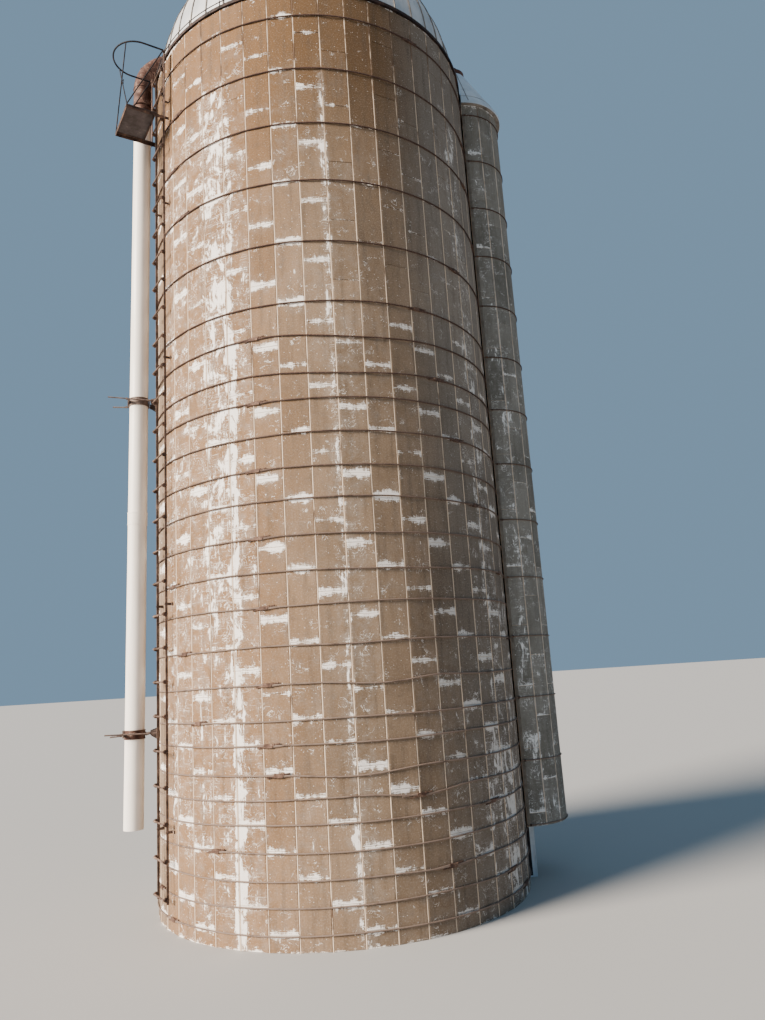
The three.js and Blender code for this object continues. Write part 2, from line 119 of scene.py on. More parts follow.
LADDER_AT = -60.5
LADDER_R = 2.305
LADDER_HALF = 0.162
LADDER_LOW = 0.300
LADDER_TOP = 10.850
STILE_DEEP = 0.030
RUNG_FIRST = 0.355
RUNG_STEP = 0.381
RUNGS = 28
RUNG_ROD = 0.0105
RUNG_REACH = 0.045
LADDER_STAYS = (1.030, 3.520, 6.560, 8.680, 10.180)

DECK_AT = -62.5
DECK_HALF = 0.305
DECK_IN = 2.412
DECK_OUT = 2.795
DECK_Z = 9.900
BAR_HIGH = 0.040
BAR_THICK = 0.006
UPRIGHT_R = 2.306
RAIL_Z = 10.885
RAIL_START = 2.323
RAIL_OUT = 2.890
RAIL_BEND = 2.580
RAIL_HALF = 0.322
BRACE_ROD = 0.008

PIPE_AT = -74.5
PIPE_R = 0.1143
PIPE_BORE = 0.108
PIPE_TOP = 10.560
PIPE_SEAM = 4.740
PIPE_LOW = 0.990
PIPE_OFF_TOP = 2.435
PIPE_OFF_LOW = 2.530
SNUG = 0.0005
BAND_HALF = 0.048
YOKE_HALF = 0.1343
YOKE_REACH = (2.860, 2.800)
NECK_LOW = PIPE_TOP + 0.002
NECK_BEND = 0.545
NECK_RISE = 10.850
NECK_END = 1.850

CHUTE_AT = 94.3
CHUTE_OFF = 2.278
CHUTE_OUT = 0.600
CHUTE_IN = 0.535
CHUTE_STAVES = 8
CHUTE_HALF = 98.4
CHUTE_STEP = 2 * CHUTE_HALF / CHUTE_STAVES
CHUTE_LOW = 0.640
CHUTE_TOP = 10.740
CHUTE_JOINT = 0.013
CHUTE_JOINTS = (0.80, 0.42)
CHUTE_HOOP_FIRST = 10.563
CHUTE_HOOPS = 14
CHUTE_HOOP_R = CHUTE_OUT + 0.0075
CHUTE_PEAK = 11.660
CONE_FOOT = CHUTE_TOP + 0.0003
EAVE_R = 0.6548
EAVE_HIGH = 0.040
PEAK_R = 0.175
CONE_RISE = CHUTE_PEAK - CONE_FOOT - EAVE_HIGH
DOME_CLEAR = 2.247
RIM_CLEAR = 2.280

# Where the photograph was taken from: place in metres, then turn, tilt and roll in radians.
CAMERA_PLACE = (0, -10.470, 2.60)
CAMERA_TURN = ((-0.0693, "Z"), (math.pi / 2 + 0.2035, "X"), (-0.0624, "Z"))
LENS_PIXELS = 783.3
PHOTO_HIGH = 1020

WELD = 1e-5
chance = random.Random(11)


def tint(code):
    """A colour written as six hex digits, as the shader's own numbers."""
    parts = [int(code[i:i + 2], 16) / 255 for i in (0, 2, 4)]
    return tuple([p / 12.92 if p < 0.04045 else ((p + 0.055) / 1.055) ** 2.4 for p in parts] + [1.0])


class Line:
    """One changing value of a finish. Sums on lines add the nodes that work them out."""

    def __init__(self, finish, socket):
        self.finish = finish
        self.socket = socket

    def __add__(self, other):
        return self.finish.math("ADD", self, other)

    def __sub__(self, other):
        return self.finish.math("SUBTRACT", self, other)

    def __rsub__(self, other):
        return self.finish.math("SUBTRACT", other, self)

    def __mul__(self, other):
        return self.finish.math("MULTIPLY", self, other)

    def __truediv__(self, other):
        return self.finish.math("DIVIDE", self, other)


class Finish:
    """A material and its nodes. A colour is given as six hex digits."""

    def __init__(self, name, **fixed):
        self.material = bpy.data.materials.new(name)
        self.material.use_nodes = True
        self.tree = self.material.node_tree
        self.shader = self.tree.nodes["Principled BSDF"]
        for socket, value in fixed.items():
            self.shader.inputs[socket.replace("_", " ")].default_value = value

    def node(self, kind, settings, sockets, out=0):
        """A node of any type: its settings first, then the values or lines of its sockets."""
        made = self.tree.nodes.new("ShaderNode" + kind)
        for name, value in settings.items():
            setattr(made, name, value)
        for name, value in sockets.items():
            self.feed(made.inputs[name], value)
        return Line(self, made.outputs[out])

    def feed(self, socket, value):
        if isinstance(value, Line):
            self.tree.links.new(value.socket, socket)
        elif isinstance(value, str):
            socket.default_value = tint(value)
        else:
            socket.default_value = value

    def math(self, operation, first, second=0.0):
        return self.node("Math", {"operation": operation}, {0: first, 1: second})

    def most(self, first, *others):
        """The largest of some lines."""
        for other in others:
            first = self.math("MAXIMUM", first, other)
        return first

    def mix(self, share, first, second):
        """Two colours mixed by a share."""
        return self.node("Mix", {"data_type": "RGBA"}, {0: share, 6: first, 7: second}, 2)

    def rise(self, value, low, high, start=0.0, end=1.0):
        """A soft step from start to end as value goes from low to high."""
        sockets = {0: value, 1: low, 2: high, 3: start, 4: end}
        return self.node("MapRange", {"interpolation_type": "SMOOTHSTEP"}, sockets)

    def over(self, base, colour, field, low, high, share):
        """A share of a colour laid over another where a field rises from low to high."""
        return self.mix(self.rise(field, low, high) * share, base, colour)

    def noise(self, place, scale, detail=3.0, rough=0.55, bend=0.0):
        sockets = {"Vector": place, "Scale": scale, "Detail": detail, "Roughness": rough, "Distortion": bend}
        return self.node("TexNoise", {}, sockets)

    def drawn(self, place, scale, detail, rough, bend=0.0, shift=(0, 0, 0)):
        """A noise of another scale along each axis."""
        stretched = self.node("Mapping", {}, {"Vector": place, "Location": shift, "Scale": scale})
        return self.noise(stretched, 1.0, detail, rough, bend)

    def cells(self, place, scale, out="Distance"):
        return self.node("TexVoronoi", {}, {"Vector": place, "Scale": scale}, out)

    def space(self):
        """The place in the object's own space."""
        return self.node("TexCoord", {}, {}, "Object")

    def laid(self, name):
        return self.node("UVMap", {"uv_map": name}, {})

    def parts(self, place):
        """The three numbers of a place."""
        outputs = self.node("SeparateXYZ", {}, {0: place}).socket.node.outputs
        return [Line(self, outputs[i]) for i in range(3)]

    def marked(self, name):
        return self.node("Attribute", {"attribute_name": name}, {}, "Fac")

    def bump(self, height, strength, depth):
        line = self.node("Bump", {}, {"Height": height, "Strength": strength, "Distance": depth})
        self.feed(self.shader.inputs["Normal"], line)

    def paint(self, **sockets):
        for name, value in sockets.items():
            self.feed(self.shader.inputs[name.replace("_", " ")], value)
        return self.material


def streak(f, place, height, middle, half, foot, head):
    """How far inside an upright streak of whitewash a place is, in staves, fading out at foot and head."""
    inside = f.rise(half - f.math("ABSOLUTE", place - middle), -0.35 * half - 0.08, 0.10)
    return inside * f.rise(height, foot - 0.6, foot) * f.rise(height, head + 0.7, head)


def stave_finish(name, light, dark, grime, old, lime, thin=1.0, age=0.8, painted_sun_tint=None):
    """Weathered concrete with the last of a whitewash, laid out stave by stave; given a sun tint, it also
    gets painted sunlight on the lit left side and painted shade on the shaded right side.
    """
    f = Finish(name, Specular_IOR_Level=0.2)
    wall = f.laid("Wall")
    across, up, _ = f.parts(f.laid("Stave"))
    around, height, _ = f.parts(wall)
    below_top = f.marked("high") - up
    bar_foot, bar_top = f.marked("bar_foot"), f.marked("bar_top")
    cloud = f.drawn(wall, (1.9, 1.045, 1.9), 4.0, 0.55)
    stain = f.drawn(wall, (13.0, 1.0, 1.0), 6.0, 0.62)
    grain = f.noise(wall, 60.0, 5.0, 0.7)
    blotch = f.noise(wall, 9.0, 5.0, 0.65)
    base = f.mix(f.rise(f.marked("tone") * 0.45 + cloud, 0.35, 1.05), dark, light)
    base = f.over(base, old, height + cloud * 3.0, 8.8, 12.0, age)
    place = f.math("FLOORED_MODULO", around / STAVE_WIDE + WASH_TURN / 2, WASH_TURN) - WASH_TURN / 2
    if painted_sun_tint:
        # Painted sunlight: a warmer, darker tone over the columns on the lit left side.
        base = f.mix(f.rise(place + cloud, 2.0, -3.0) * f.rise(place, -7.5, -6.3) * 0.7, base, painted_sun_tint)
        # Painted shade: a grey tone, darker below 3 m, over the columns on the shaded right side.
        painted_shade_grey = f.mix(f.rise(height, 3.0, 7.0), "5E5B57", "807C76")
        base = f.mix(f.rise(place, 3.0, 6.0) * f.rise(place, 11.0, 10.6) * 0.55, base, painted_shade_grey)
    base = f.over(base, grime, stain, 0.45, 0.72, 0.45)
    base = f.over(base, grime, blotch, 0.48, 0.72, 0.32)
    base = f.over(base, lime, grain, 0.48, 0.78, 0.20)
    base = f.over(base, grime, grain, 0.46, 0.30, 0.45)
    # Where the wash still holds: the streaks, and what each stave has kept.
    wandering = place + (f.drawn(wall, (0.8, 1.4, 1.0), 5.0, 0.65) - 0.5) * 0.7
    cover = f.marked("wash")
    for middle, half, foot, head, share in WASH_STREAKS:
        cover = f.most(cover, streak(f, wandering, height, middle, half, foot, head) * (share * thin))
    skirt = f.most(bar_foot - up * 5.0, bar_top - below_top * 5.0)
    cover = f.most(cover, skirt * 0.50)
    patch = f.drawn(wall, (4.4, 3.2, 1.0), 6.0, 0.74, 0.9)
    lean = f.node("Mapping", {}, {"Vector": wall, "Rotation": (0, 0, 0.33), "Scale": (34.0, 2.8, 1.0)})
    hair = f.noise(lean, 1.0, 6.0, 0.7, 0.6)
    solid = f.rise(cover + (patch - 0.5) * 2.3 + (hair - 0.5) * 1.2, 0.66, 0.76)
    haze = cover * f.rise(blotch * 0.5 + patch * 0.5, 0.42, 0.60) * 0.22
    strokes = f.rise(hair, 0.57, 0.63) * f.rise(cover + (patch - 0.5) * 1.6, 0.38, 0.66) * 0.85
    brush = f.drawn(wall, (4.0, 75.0, 1.0), 6.0, 0.74, 0.3)
    brushed = f.rise(brush, 0.56, 0.62) * f.rise(cover + (patch - 0.5) * 1.3, 0.30, 0.56) * 0.6
    # Thin curls where a noise passes its middle value, and a few flecks.
    curl = f.math("ABSOLUTE", f.noise(wall, 7.0, 3.0, 0.6, 1.8) - 0.5)
    gate = f.noise(wall, 5.0, 3.0, 0.6)
    curls = f.rise(curl, 0.014, 0.0042) * f.rise(gate + cover * 0.24, 0.60, 0.68) * 0.8
    dots, _, _ = f.parts(f.cells(wall, 46.0, "Color"))
    flecks = f.rise(f.cells(wall, 46.0), 0.26, 0.12) * f.rise(dots + cover * 0.10, 0.92, 0.95) * 0.7
    # Ragged bars where two staves meet end to end.
    run = f.drawn(wall, (5.0, 1.3, 1.0), 3.0, 0.6, 0.0, (3.1, 0.4, 0))
    tears = f.drawn(wall, (11.0, 95.0, 1.0), 6.0, 0.78, 0.5)
    drips = f.drawn(wall, (42.0, 4.0, 1.0), 4.0, 0.7)
    deep = f.most(bar_foot * 0.039 - up, bar_top * 0.039 - below_top)
    deep = deep + (run - 0.50) * 0.19 + (tears - 0.5) * 0.20 + (drips - 0.5) * 0.09
    bars = f.rise(deep, 0.0, 0.006) * f.rise(grain + blotch, 0.74, 0.86)
    from_side = f.math("MINIMUM", across, 1.0 - across)
    side_noise = f.drawn(wall, (3.0, 4.5, 1.0), 5.0, 0.7)
    sides = f.rise(side_noise * 0.10 - 0.042 - from_side + cover * 0.02, 0.0, 0.012) * 0.6
    white = f.most(solid, strokes, brushed, bars, sides, curls, flecks, haze)
    white = white * f.rise(grain, 0.28, 0.42, 0.6, 1.0)
    if painted_sun_tint:
        # Painted shade: the whitewash dimmed to two thirds over the columns on the shaded right side.
        white = white * f.rise(place, 2.5, 5.0, 1.0, 0.66)
    body = f.mix(f.noise(wall, 14.0, 4.0), lime, "FAF8F5")
    f.bump(grain * 0.4 + white * 0.35 + blotch * 0.25, 0.5, 0.004)
    return f.paint(Base_Color=f.mix(white * 0.95, base, body), Roughness=f.rise(white, 0.0, 1.0, 0.95, 0.82))


def mortar_finish():
    """The pale beads pushed out between the staves, and the mortar behind them."""
    f = Finish("joint_mortar", Roughness=0.95, Specular_IOR_Level=0.2)
    place = f.space()
    _, _, height = f.parts(place)
    worn = f.drawn(place, (5, 5, 2.2), 5.0, 0.7)
    grain = f.noise(place, 90.0, 3.0)
    pale = f.rise(worn - f.rise(height, 8.6, 10.9) * 0.16, 0.30, 0.46)
    colour = f.over(f.mix(pale, "6B5646", "D0BBA5"), "8A7461", grain, 0.5, 0.8, 0.35)
    f.bump(grain, 0.5, 0.002)
    return f.paint(Base_Color=colour)


def rust_finish(name, dark, mid, light, scale=8.0, metal=0.15):
    """Old steel: a dark skin with lighter rust breaking through."""
    f = Finish(name, Metallic=metal, Specular_IOR_Level=0.3)
    place = f.space()
    patch = f.noise(place, scale, 5.0, 0.65, 0.3)
    fine = f.noise(place, scale * 9, 4.0, 0.6)
    colour = f.mix(f.rise(patch, 0.36, 0.58), dark, mid)
    colour = f.mix(f.rise(patch * 0.6 + fine * 0.4, 0.53, 0.64), colour, light)
    f.bump(fine * 0.6 + patch * 0.4, 0.5, 0.0015)
    return f.paint(Base_Color=colour, Roughness=f.rise(fine, 0.3, 0.7, 0.6, 0.92))


def hoop_finish():
    """Dark brown rods that get paler lower down."""
    f = Finish("hoop_rust", Metallic=0.1, Specular_IOR_Level=0.3)
    place = f.space()
    _, _, height = f.parts(place)
    patch = f.noise(place, 5.0, 5.0, 0.6)
    fine = f.noise(place, 90.0, 3.0)
    colour = f.mix(f.rise(height + patch * 1.5, 7.6, 3.0), "43302A", "74645A")
    colour = f.over(colour, "2B1C16", patch, 0.5, 0.7, 0.6)
    colour = f.over(colour, "A08672", fine, 0.5, 0.75, 0.5)
    f.bump(fine, 0.4, 0.001)
    return f.paint(Base_Color=colour, Roughness=f.rise(fine, 0.3, 0.7, 0.7, 0.95))


def sheet_finish(name, light, dark, dirt):
    """Galvanized sheet, dulled and streaked by rain."""
    f = Finish(name, Metallic=0.35, Specular_IOR_Level=0.5)
    place = f.space()
    level, _, _ = f.parts(f.cells(place, 28.0, "Color"))
    cloud = f.noise(place, 1.6, 4.0, 0.6)
    run = f.drawn(place, (7, 7, 0.7), 5.0, 0.65)
    colour = f.mix(f.rise(cloud, 0.35, 0.65), dark, light)
    colour = f.mix(level * 0.12, colour, light)
    colour = f.over(colour, dirt, run, 0.52, 0.78, 0.5)
    f.bump(level * 0.3 + cloud, 0.15, 0.002)
    return f.paint(Base_Color=colour, Roughness=f.rise(run, 0.3, 0.7, 0.42, 0.62))


def pipe_finish():
    """Creamy white plastic pipe with dust and thin drips."""
    f = Finish("pipe_white", Specular_IOR_Level=0.45)
    place = f.space()
    dust = f.drawn(place, (9, 9, 0.8), 5.0, 0.6)
    mottle = f.noise(place, 6.0, 4.0)
    colour = f.over("F4EEE5", "D2C6B6", dust, 0.48, 0.75, 0.45)
    colour = f.over(colour, "FAF6F0", mottle, 0.55, 0.75, 0.35)
    f.bump(mottle, 0.1, 0.002)
    return f.paint(Base_Color=colour, Roughness=f.rise(dust, 0.3, 0.7, 0.38, 0.6))


def wood_finish():
    f = Finish("door_wood", Roughness=0.85)
    fibre = f.drawn(f.space(), (2, 2, 40), 5.0, 0.6)
    f.bump(fibre, 0.4, 0.002)
    return f.paint(Base_Color=f.mix(f.rise(fibre, 0.35, 0.65), "5E4F3F", "9C8B74"))


def floor_finish():
    f = Finish("floor_concrete", Roughness=0.9)
    place = f.space()
    grain = f.noise(place, 60.0, 3.0)
    worn = f.noise(place, 2.0, 5.0) * 0.7 + grain * 0.3
    f.bump(grain, 0.4, 0.002)
    return f.paint(Base_Color=f.mix(f.rise(worn, 0.35, 0.65), "6F685E", "9A9286"))


# The wall's sun tint is painted sunlight on its lit left side; passing it also paints shade on the right
# side.
STAVE = stave_finish("stave_concrete", "826E5A", "685746", "463C32", "533A1C", "E2D9D0", painted_sun_tint="7E5D3D")
CHUTE = stave_finish("chute_concrete", "807C74", "625F58", "47443E", "6E685E", "BFC2C2", 0.6, 0.4)
MORTAR = mortar_finish()
HOOP = hoop_finish()
RUST = rust_finish("rusty_steel", "352721", "56433A", "80604C")
CLAMP = rust_finish("clamp_iron", "5A4C47", "7C6C64", "9A8A7E", 10.0)
STILE = rust_finish("ladder_iron", "45362D", "66544A", "90796A", 9.0)
LUG = rust_finish("lug_iron", "3E2C24", "5E473B", "8B7361", 12.0)
CHUTE_STRIP = rust_finish("strip_iron", "5C554D", "6E675E", "7F776D", 9.0)
DARK_STEEL = rust_finish("dark_steel", "17161A", "2A2528", "4D3A31")
NECK = rust_finish("neck_rust", "3C251D", "593E34", "8E786A", 11.0)
RIB = rust_finish("rib_steel", "6F6862", "8C857E", "A39B92", 6.0, 0.3)
PLATE = rust_finish("plate_rust", "453D3C", "564E4E", "6C6462", 4.0)
# Near-black: partly the rim's own rust, partly painted shade at the foot of the dome.
RIM_RUST_AND_SHADE = rust_finish("rim_rust_and_shade", "1D1514", "33231F", "5C4638", 6.0)
DOME_SHEET = sheet_finish("dome_sheet", "CFCDCB", "AFB3B7", "8E9297")
CONE_SHEET = sheet_finish("cone_sheet", "D2D8DD", "B8C0C6", "8F959A")
FRAME_STEEL = sheet_finish("frame_steel", "C9D2DA", "A8B4BE", "6A645D")
PIPE = pipe_finish()
WOOD = wood_finish()


def put_down():
    """Leaves edit mode with nothing selected."""
    if bpy.context.mode != "OBJECT":
        bpy.ops.object.mode_set(mode="OBJECT")
    bpy.ops.object.select_all(action="DESELECT")


def take_up(*pieces):
    put_down()
    for piece in pieces:
        piece.select_set(True)
    bpy.context.view_layer.objects.active = pieces[0]


def open_up(piece):
    """Opens a piece with all of it selected."""
    take_up(piece)
    bpy.ops.object.mode_set(mode="EDIT")
    bpy.ops.mesh.select_all(action="SELECT")


def pull(x, y, z):
    """Draws new faces or edges out of the selected ones."""
    bpy.ops.mesh.extrude_region_move(TRANSFORM_OT_translate={"value": (x, y, z)})


def close_up():
    """Welds the seams of the open piece, turns its faces outward and puts it down."""
    bpy.ops.mesh.select_all(action="SELECT")
    bpy.ops.mesh.remove_doubles(threshold=WELD)
    bpy.ops.mesh.normals_make_consistent(inside=False)
    put_down()


def settled(name, finish=None):
    """The primitive just added, with its place moved into its mesh."""
    piece = bpy.context.object
    piece.name = name
    bpy.ops.object.transform_apply(location=True, rotation=True, scale=True)
    if finish:
        piece.data.materials.append(finish)
    put_down()
    return piece


def block(name, size, middle, finish, test=None, width=0.0, steps=1):
    """A box, with the edges that pass the test bevelled."""
    bpy.ops.mesh.primitive_cube_add(size=1, location=middle)
    bpy.context.object.scale = size
    piece = settled(name, finish)
    return eased(piece, test, width, steps) if test else piece


def rod(name, start, end, radius, sides, finish):
    """A round bar between two points."""
    start, end = Vector(start), Vector(end)
    bpy.ops.mesh.primitive_cylinder_add(
        vertices=sides, radius=radius, depth=(end - start).length, location=(start + end) / 2,
        rotation=(end - start).to_track_quat("Z", "Y").to_euler())
    return settled(name, finish)


def pin(name, x, y, z, deep, radius, finish):
    """A bolt head or nut that faces -Y."""
    return rod(name, (x, y, z), (x, y - deep, z), radius, 6, finish)


def disc(name, radius, sides, middle, finish, turn=0):
    """A filled circle that lies flat, or is turned up to face +X."""
    bpy.ops.mesh.primitive_circle_add(vertices=sides, radius=radius, fill_type="NGON", location=middle,
                                      rotation=(0, math.radians(turn), 0))
    return settled(name, finish)


def ball(name, segments, rings, radius, finish=None):
    """A ball round the middle of the dome."""
    bpy.ops.mesh.primitive_uv_sphere_add(segments=segments, ring_count=rings, radius=radius,
                                         location=(0, 0, DOME_BASE))
    return settled(name, finish)


def ring_bar(name, radius, thin, rings, sides, middle, finish):
    """A closed ring of round bar, lying flat."""
    bpy.ops.mesh.primitive_torus_add(major_segments=rings, minor_segments=sides, major_radius=radius,
                                     minor_radius=thin, location=middle)
    return settled(name, finish)


def pick(piece, test, kind="FACE"):
    """Opens a piece with the faces or edges selected whose middle and direction pass the test."""
    take_up(piece)
    bpy.ops.object.mode_set(mode="EDIT")
    bpy.ops.mesh.select_mode(type=kind)
    bpy.ops.mesh.select_all(action="DESELECT")
    bpy.ops.object.mode_set(mode="OBJECT")
    mesh = piece.data
    if kind == "FACE":
        for face in mesh.polygons:
            face.select = test(face.center, face.normal)
    else:
        for edge in mesh.edges:
            a, b = (mesh.vertices[i].co for i in edge.vertices)
            edge.select = test((a + b) / 2, (b - a).normalized())
    bpy.ops.object.mode_set(mode="EDIT")


def without(piece, test):
    """Deletes the faces that pass the test."""
    pick(piece, test)
    bpy.ops.mesh.delete(type="FACE")
    put_down()
    return piece


def eased(piece, test, width, steps=1):
    """Bevels the edges that pass the test."""
    pick(piece, test, "EDGE")
    bpy.ops.mesh.bevel(offset=width, segments=steps, affect="EDGES")
    put_down()
    return piece


def stepped(piece, *steps):
    """Insets the top face again and again, and each time draws it up behind a wall or just moves it."""
    pick(piece, upward)
    for inward, lift, walled in steps:
        bpy.ops.mesh.inset(thickness=inward)
        if walled:
            pull(0, 0, lift)
        else:
            bpy.ops.transform.translate(value=(0, 0, lift))
    put_down()
    return piece


def upright(middle, way):
    return abs(way.z) > 0.9


def endways(middle, way):
    return abs(way.y) > 0.9


def upward(middle, way):
    return way.z > 0.9


def spun(piece, steps, degrees, centre=(0, 0, 0), axis=(0, 0, 1)):
    """Sweeps the whole piece round an axis into a closed shape."""
    open_up(piece)
    # The tool counts its angle the other way round the axis.
    bpy.ops.mesh.spin(steps=steps, angle=math.radians(-degrees), center=centre, axis=axis)
    close_up()
    return piece


def bent_rod(name, radius, sides, finish, place, steps, degrees):
    """A round bar that runs from a place in an arc round the upright axis."""
    piece = disc(name, radius, sides, (0, 0, 0), finish, 90)
    piece.data.transform(place)
    return spun(piece, steps, degrees)


def applied(piece, kind, **settings):
    """Adds a modifier and makes its result the piece's own mesh."""
    modifier = piece.modifiers.new("once", kind)
    for name, value in settings.items():
        setattr(modifier, name, value)
    take_up(piece)
    bpy.ops.object.modifier_apply(modifier="once")
    put_down()
    return piece


def cut(piece, tool):
    """Takes the tool's shape out of the piece."""
    return applied(piece, "BOOLEAN", object=tool, operation="DIFFERENCE", solver="EXACT")


def copy(pattern, place=Matrix.Identity(4)):
    """A copy with its own mesh, put in its place."""
    made = pattern.copy()
    made.data = pattern.data.copy()
    made.data.transform(place)
    bpy.context.collection.objects.link(made)
    return made


def joined(name, pieces):
    take_up(*pieces)
    if len(pieces) > 1:
        bpy.ops.object.join()
    made = bpy.context.object
    made.name = name
    made.data.name = name
    put_down()
    return made


def scrap(*patterns):
    for pattern in patterns:
        bpy.data.objects.remove(pattern)


def turned(degrees, axis="Z"):
    return Matrix.Rotation(math.radians(degrees), 4, axis)


def moved(x, y, z):
    return Matrix.Translation((x, y, z))


def stand(degrees, out=0.0, height=0.0):
    """Takes a part made at the origin, facing -Y, to its place round the silo's axis."""
    return turned(degrees) @ moved(0, -out, height)


def at(out, degrees, height=0.0):
    return stand(degrees, out, height) @ Vector((0, 0, 0))


def bearing(x, y):
    """Degrees from -Y toward +X."""
    return math.degrees(math.atan2(x, -y))


def fit(name, pieces, slot, *nodes, place=None, smooth=30):
    """Joins and smooths finished pieces and puts them on the frame for the nodes they stand for."""
    piece = joined(name, pieces)
    if place:
        piece.data.transform(place)
    take_up(piece)
    bpy.ops.object.shade_smooth_by_angle(angle=math.radians(smooth))
    put_down()
    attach(piece, "root")
    if nodes:
        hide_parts(*nodes)


def lay_map(piece, name, where):
    """Gives a piece a UV map whose place comes from each corner's own place."""
    layer = piece.data.uv_layers.get(name) or piece.data.uv_layers.new(name=name)
    for loop in piece.data.loops:
        layer.data[loop.index].uv = where(piece.data.vertices[loop.vertex_index].co)


def lay_wall_map(stave, start, foot, share):
    """Adds the wall's map in metres to a stave, from the map it has of itself."""
    layer = stave.data.uv_layers.new(name="Wall")
    own = stave.data.uv_layers["Stave"]
    for i, spot in enumerate(own.data):
        across, up = spot.uv
        spot.uv = (across, up * share)
        layer.data[i].uv = (start + across * STAVE_WIDE, foot + up * share)


def mark(piece, **values):
    """Gives every face of a piece the same named numbers."""
    for name, value in values.items():
        layer = piece.data.attributes.get(name) or piece.data.attributes.new(name, "FLOAT", "FACE")
        layer.data.foreach_set("value", [value] * len(piece.data.polygons))


def stave_angle(joint):
    return STAVE_START + joint * STAVE_STEP


def stave_ends(top, joint, foot):
    """The heights of a column's stave ends, from the top down, with no stave cut to a sliver."""
    ends = [top]
    while joint > foot + SLIVER:
        if top - joint > 2 * SLIVER:
            ends.append(joint)
        joint -= STAVE_HIGH
    return ends + [foot]


def wash_left(column, height):
    """How much haze of whitewash a stave still has besides the streaks, from 0 to 1."""
    share = WASH_KEPT.get(column, 0.10) + chance.uniform(-0.10, 0.16)
    if height > WASH_FADES:
        share -= (height - WASH_FADES) * 0.10
    if height < 1.6 and column > 3:
        share += 0.06 * (column - 3)
    if column > 1 and 4 < height < WASH_FADES:
        share -= 0.05
    return max(0.0, min(0.75, share))


def bar_left(column, height):
    """How thick the flaking bar at an end joint is, up to 1. Below 0 hardly any is left."""
    share = chance.uniform(0.25, 1.0)
    if column > 0 and height > BARS_GO:
        return share - (1.7 if height > BARS_HIGH else 1.1)
    if not -8 < column < 1 and height > BARS_FADE:
        share *= 0.5
    if height > BARS_HIGH:
        share *= 0.5
    return share


def wall_panels():
    """The wall in segments of three columns of staves."""
    size = (STAVE_WIDE - SIDE_JOINT, STAVE_THICK, STAVE_HIGH)
    pattern = block("stave", size, (0, STAVE_THICK / 2, STAVE_HIGH / 2), STAVE,
                    lambda middle, way: middle.y < 0.001, 0.004)
    lay_map(pattern, "Stave", lambda co: (co.x / STAVE_WIDE + 0.5, co.z))
    for i in range((STAVES - DOOR_LAST + DOOR_FIRST) // PANEL_STAVES):
        node = "wall_panel_%02d" % (i + 1)
        staves = [panel_core(node)]
        first = DOOR_LAST + PANEL_STAVES * i
        for joint in range(first, first + PANEL_STAVES):
            staves += stave_column(pattern, joint - STAVES)
            staves.append(bead(joint))
        fit("staves_%02d" % (i + 1), staves, "stave_concrete", node)
    scrap(pattern)


def stave_column(pattern, column):
    ends = stave_ends(WALL_TOP, FIRST_JOINTS[column % 3], 0.0)
    middle = stave_angle(column + 0.5)
    bars = [0.0] + [bar_left(column, z) for z in ends[1:-1]] + [0.0]
    made = []
    for i in range(len(ends) - 1):
        top, foot = ends[i], ends[i + 1]
        tall = top - foot - END_JOINT
        lean = Matrix.Rotation(chance.uniform(-0.002, 0.002), 4, "X")
        size = Matrix.Diagonal((1, 1, tall / STAVE_HIGH, 1))
        out = WALL_FACE + chance.uniform(-0.0015, 0.0012)
        stave = copy(pattern, stand(middle, out, foot + END_JOINT / 2) @ lean @ size)
        lay_wall_map(stave, column * STAVE_WIDE, foot, tall / STAVE_HIGH)
        mark(stave, tone=chance.random(), wash=wash_left(column, (top + foot) / 2), high=tall,
             bar_top=bars[i], bar_foot=bars[i + 1])
        made.append(stave)
    return made


def bead(joint):
    """The mortar squeezed out along an upright joint of the wall."""
    strip = block("bead", (BEAD_WIDE, 0.010, WALL_TOP), (0, 0.0058 - WALL_OUT, WALL_TOP / 2), MORTAR,
                  lambda middle, way: middle.y < 0.002 - WALL_OUT and upright(middle, way), 0.003)
    strip.data.transform(stand(stave_angle(joint)))
    return strip


def panel_core(node):
    """The mortar behind the staves: the wall segment with its outer face set back."""
    core = copy(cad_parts[node])
    core.parent = None
    for key in [k for k in core.keys() if k.startswith("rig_")]:
        del core[key]
    core.data.materials.clear()
    core.data.materials.append(MORTAR)
    open_up(core)
    bpy.ops.mesh.remove_doubles(threshold=WELD)
    bpy.ops.mesh.select_mode(type="VERT")
    bpy.ops.mesh.select_all(action="DESELECT")
    bpy.ops.object.mode_set(mode="OBJECT")
    for vertex in core.data.vertices:
        vertex.select = math.hypot(vertex.co.x, vertex.co.y) > WALL_OUT - 0.01
    bpy.ops.object.mode_set(mode="EDIT")
    back = (WALL_OUT - CORE_BACK) / WALL_OUT
    bpy.ops.transform.resize(value=(back, back, 1), center_override=(0, 0, 0))
    put_down()
    return core


def lug_pattern():
    """The casting that two rod ends pass through, with their nuts."""
    parts = [block("lug", (0.098, 0.024, 0.040), (0, 0.001, 0), LUG, endways, 0.011, 2)]
    for side, height in ((-1, 0.011), (1, -0.011)):
        for name, near, far, radius, finish in (
                ("rod_end", (0.040, 0.002, height), (0.21, 0.010, 0), HOOP_ROD, HOOP),
                ("nut", (0.049, 0.003, -height), (0.065, 0.003, -height), 0.014, LUG),
                ("thread", (0.06, 0.002, -height), (0.125, 0.002, -height * 1.9), 0.0075, LUG)):
            near, far = (side * near[0], *near[1:]), (side * far[0], *far[1:])
            parts.append(rod(name, near, far, radius, 6, finish))
    return joined("lug", parts)


def lug_places(index):
    """Where the rods of a hoop meet, in degrees."""
    return [a for a in (LUGS[index] - 120, LUGS[index], LUGS[index] + 120)
            if FAR_JAMB - 352 < a < NEAR_JAMB - 6 or a > FAR_JAMB + 8]


def hang(index, degrees):
    """How far a hoop has slipped up or down at a place round the wall."""
    low = 0.004 * sine(degrees * 3 + index * 77) + 0.003 * sine(degrees * 7 + index * 131)
    for middle, half, drop in SLIPS.get(index, ()):
        share = abs(degrees - middle) / half
        if share < 1:
            low -= drop * (1 + math.cos(math.pi * share)) / 2
    return low


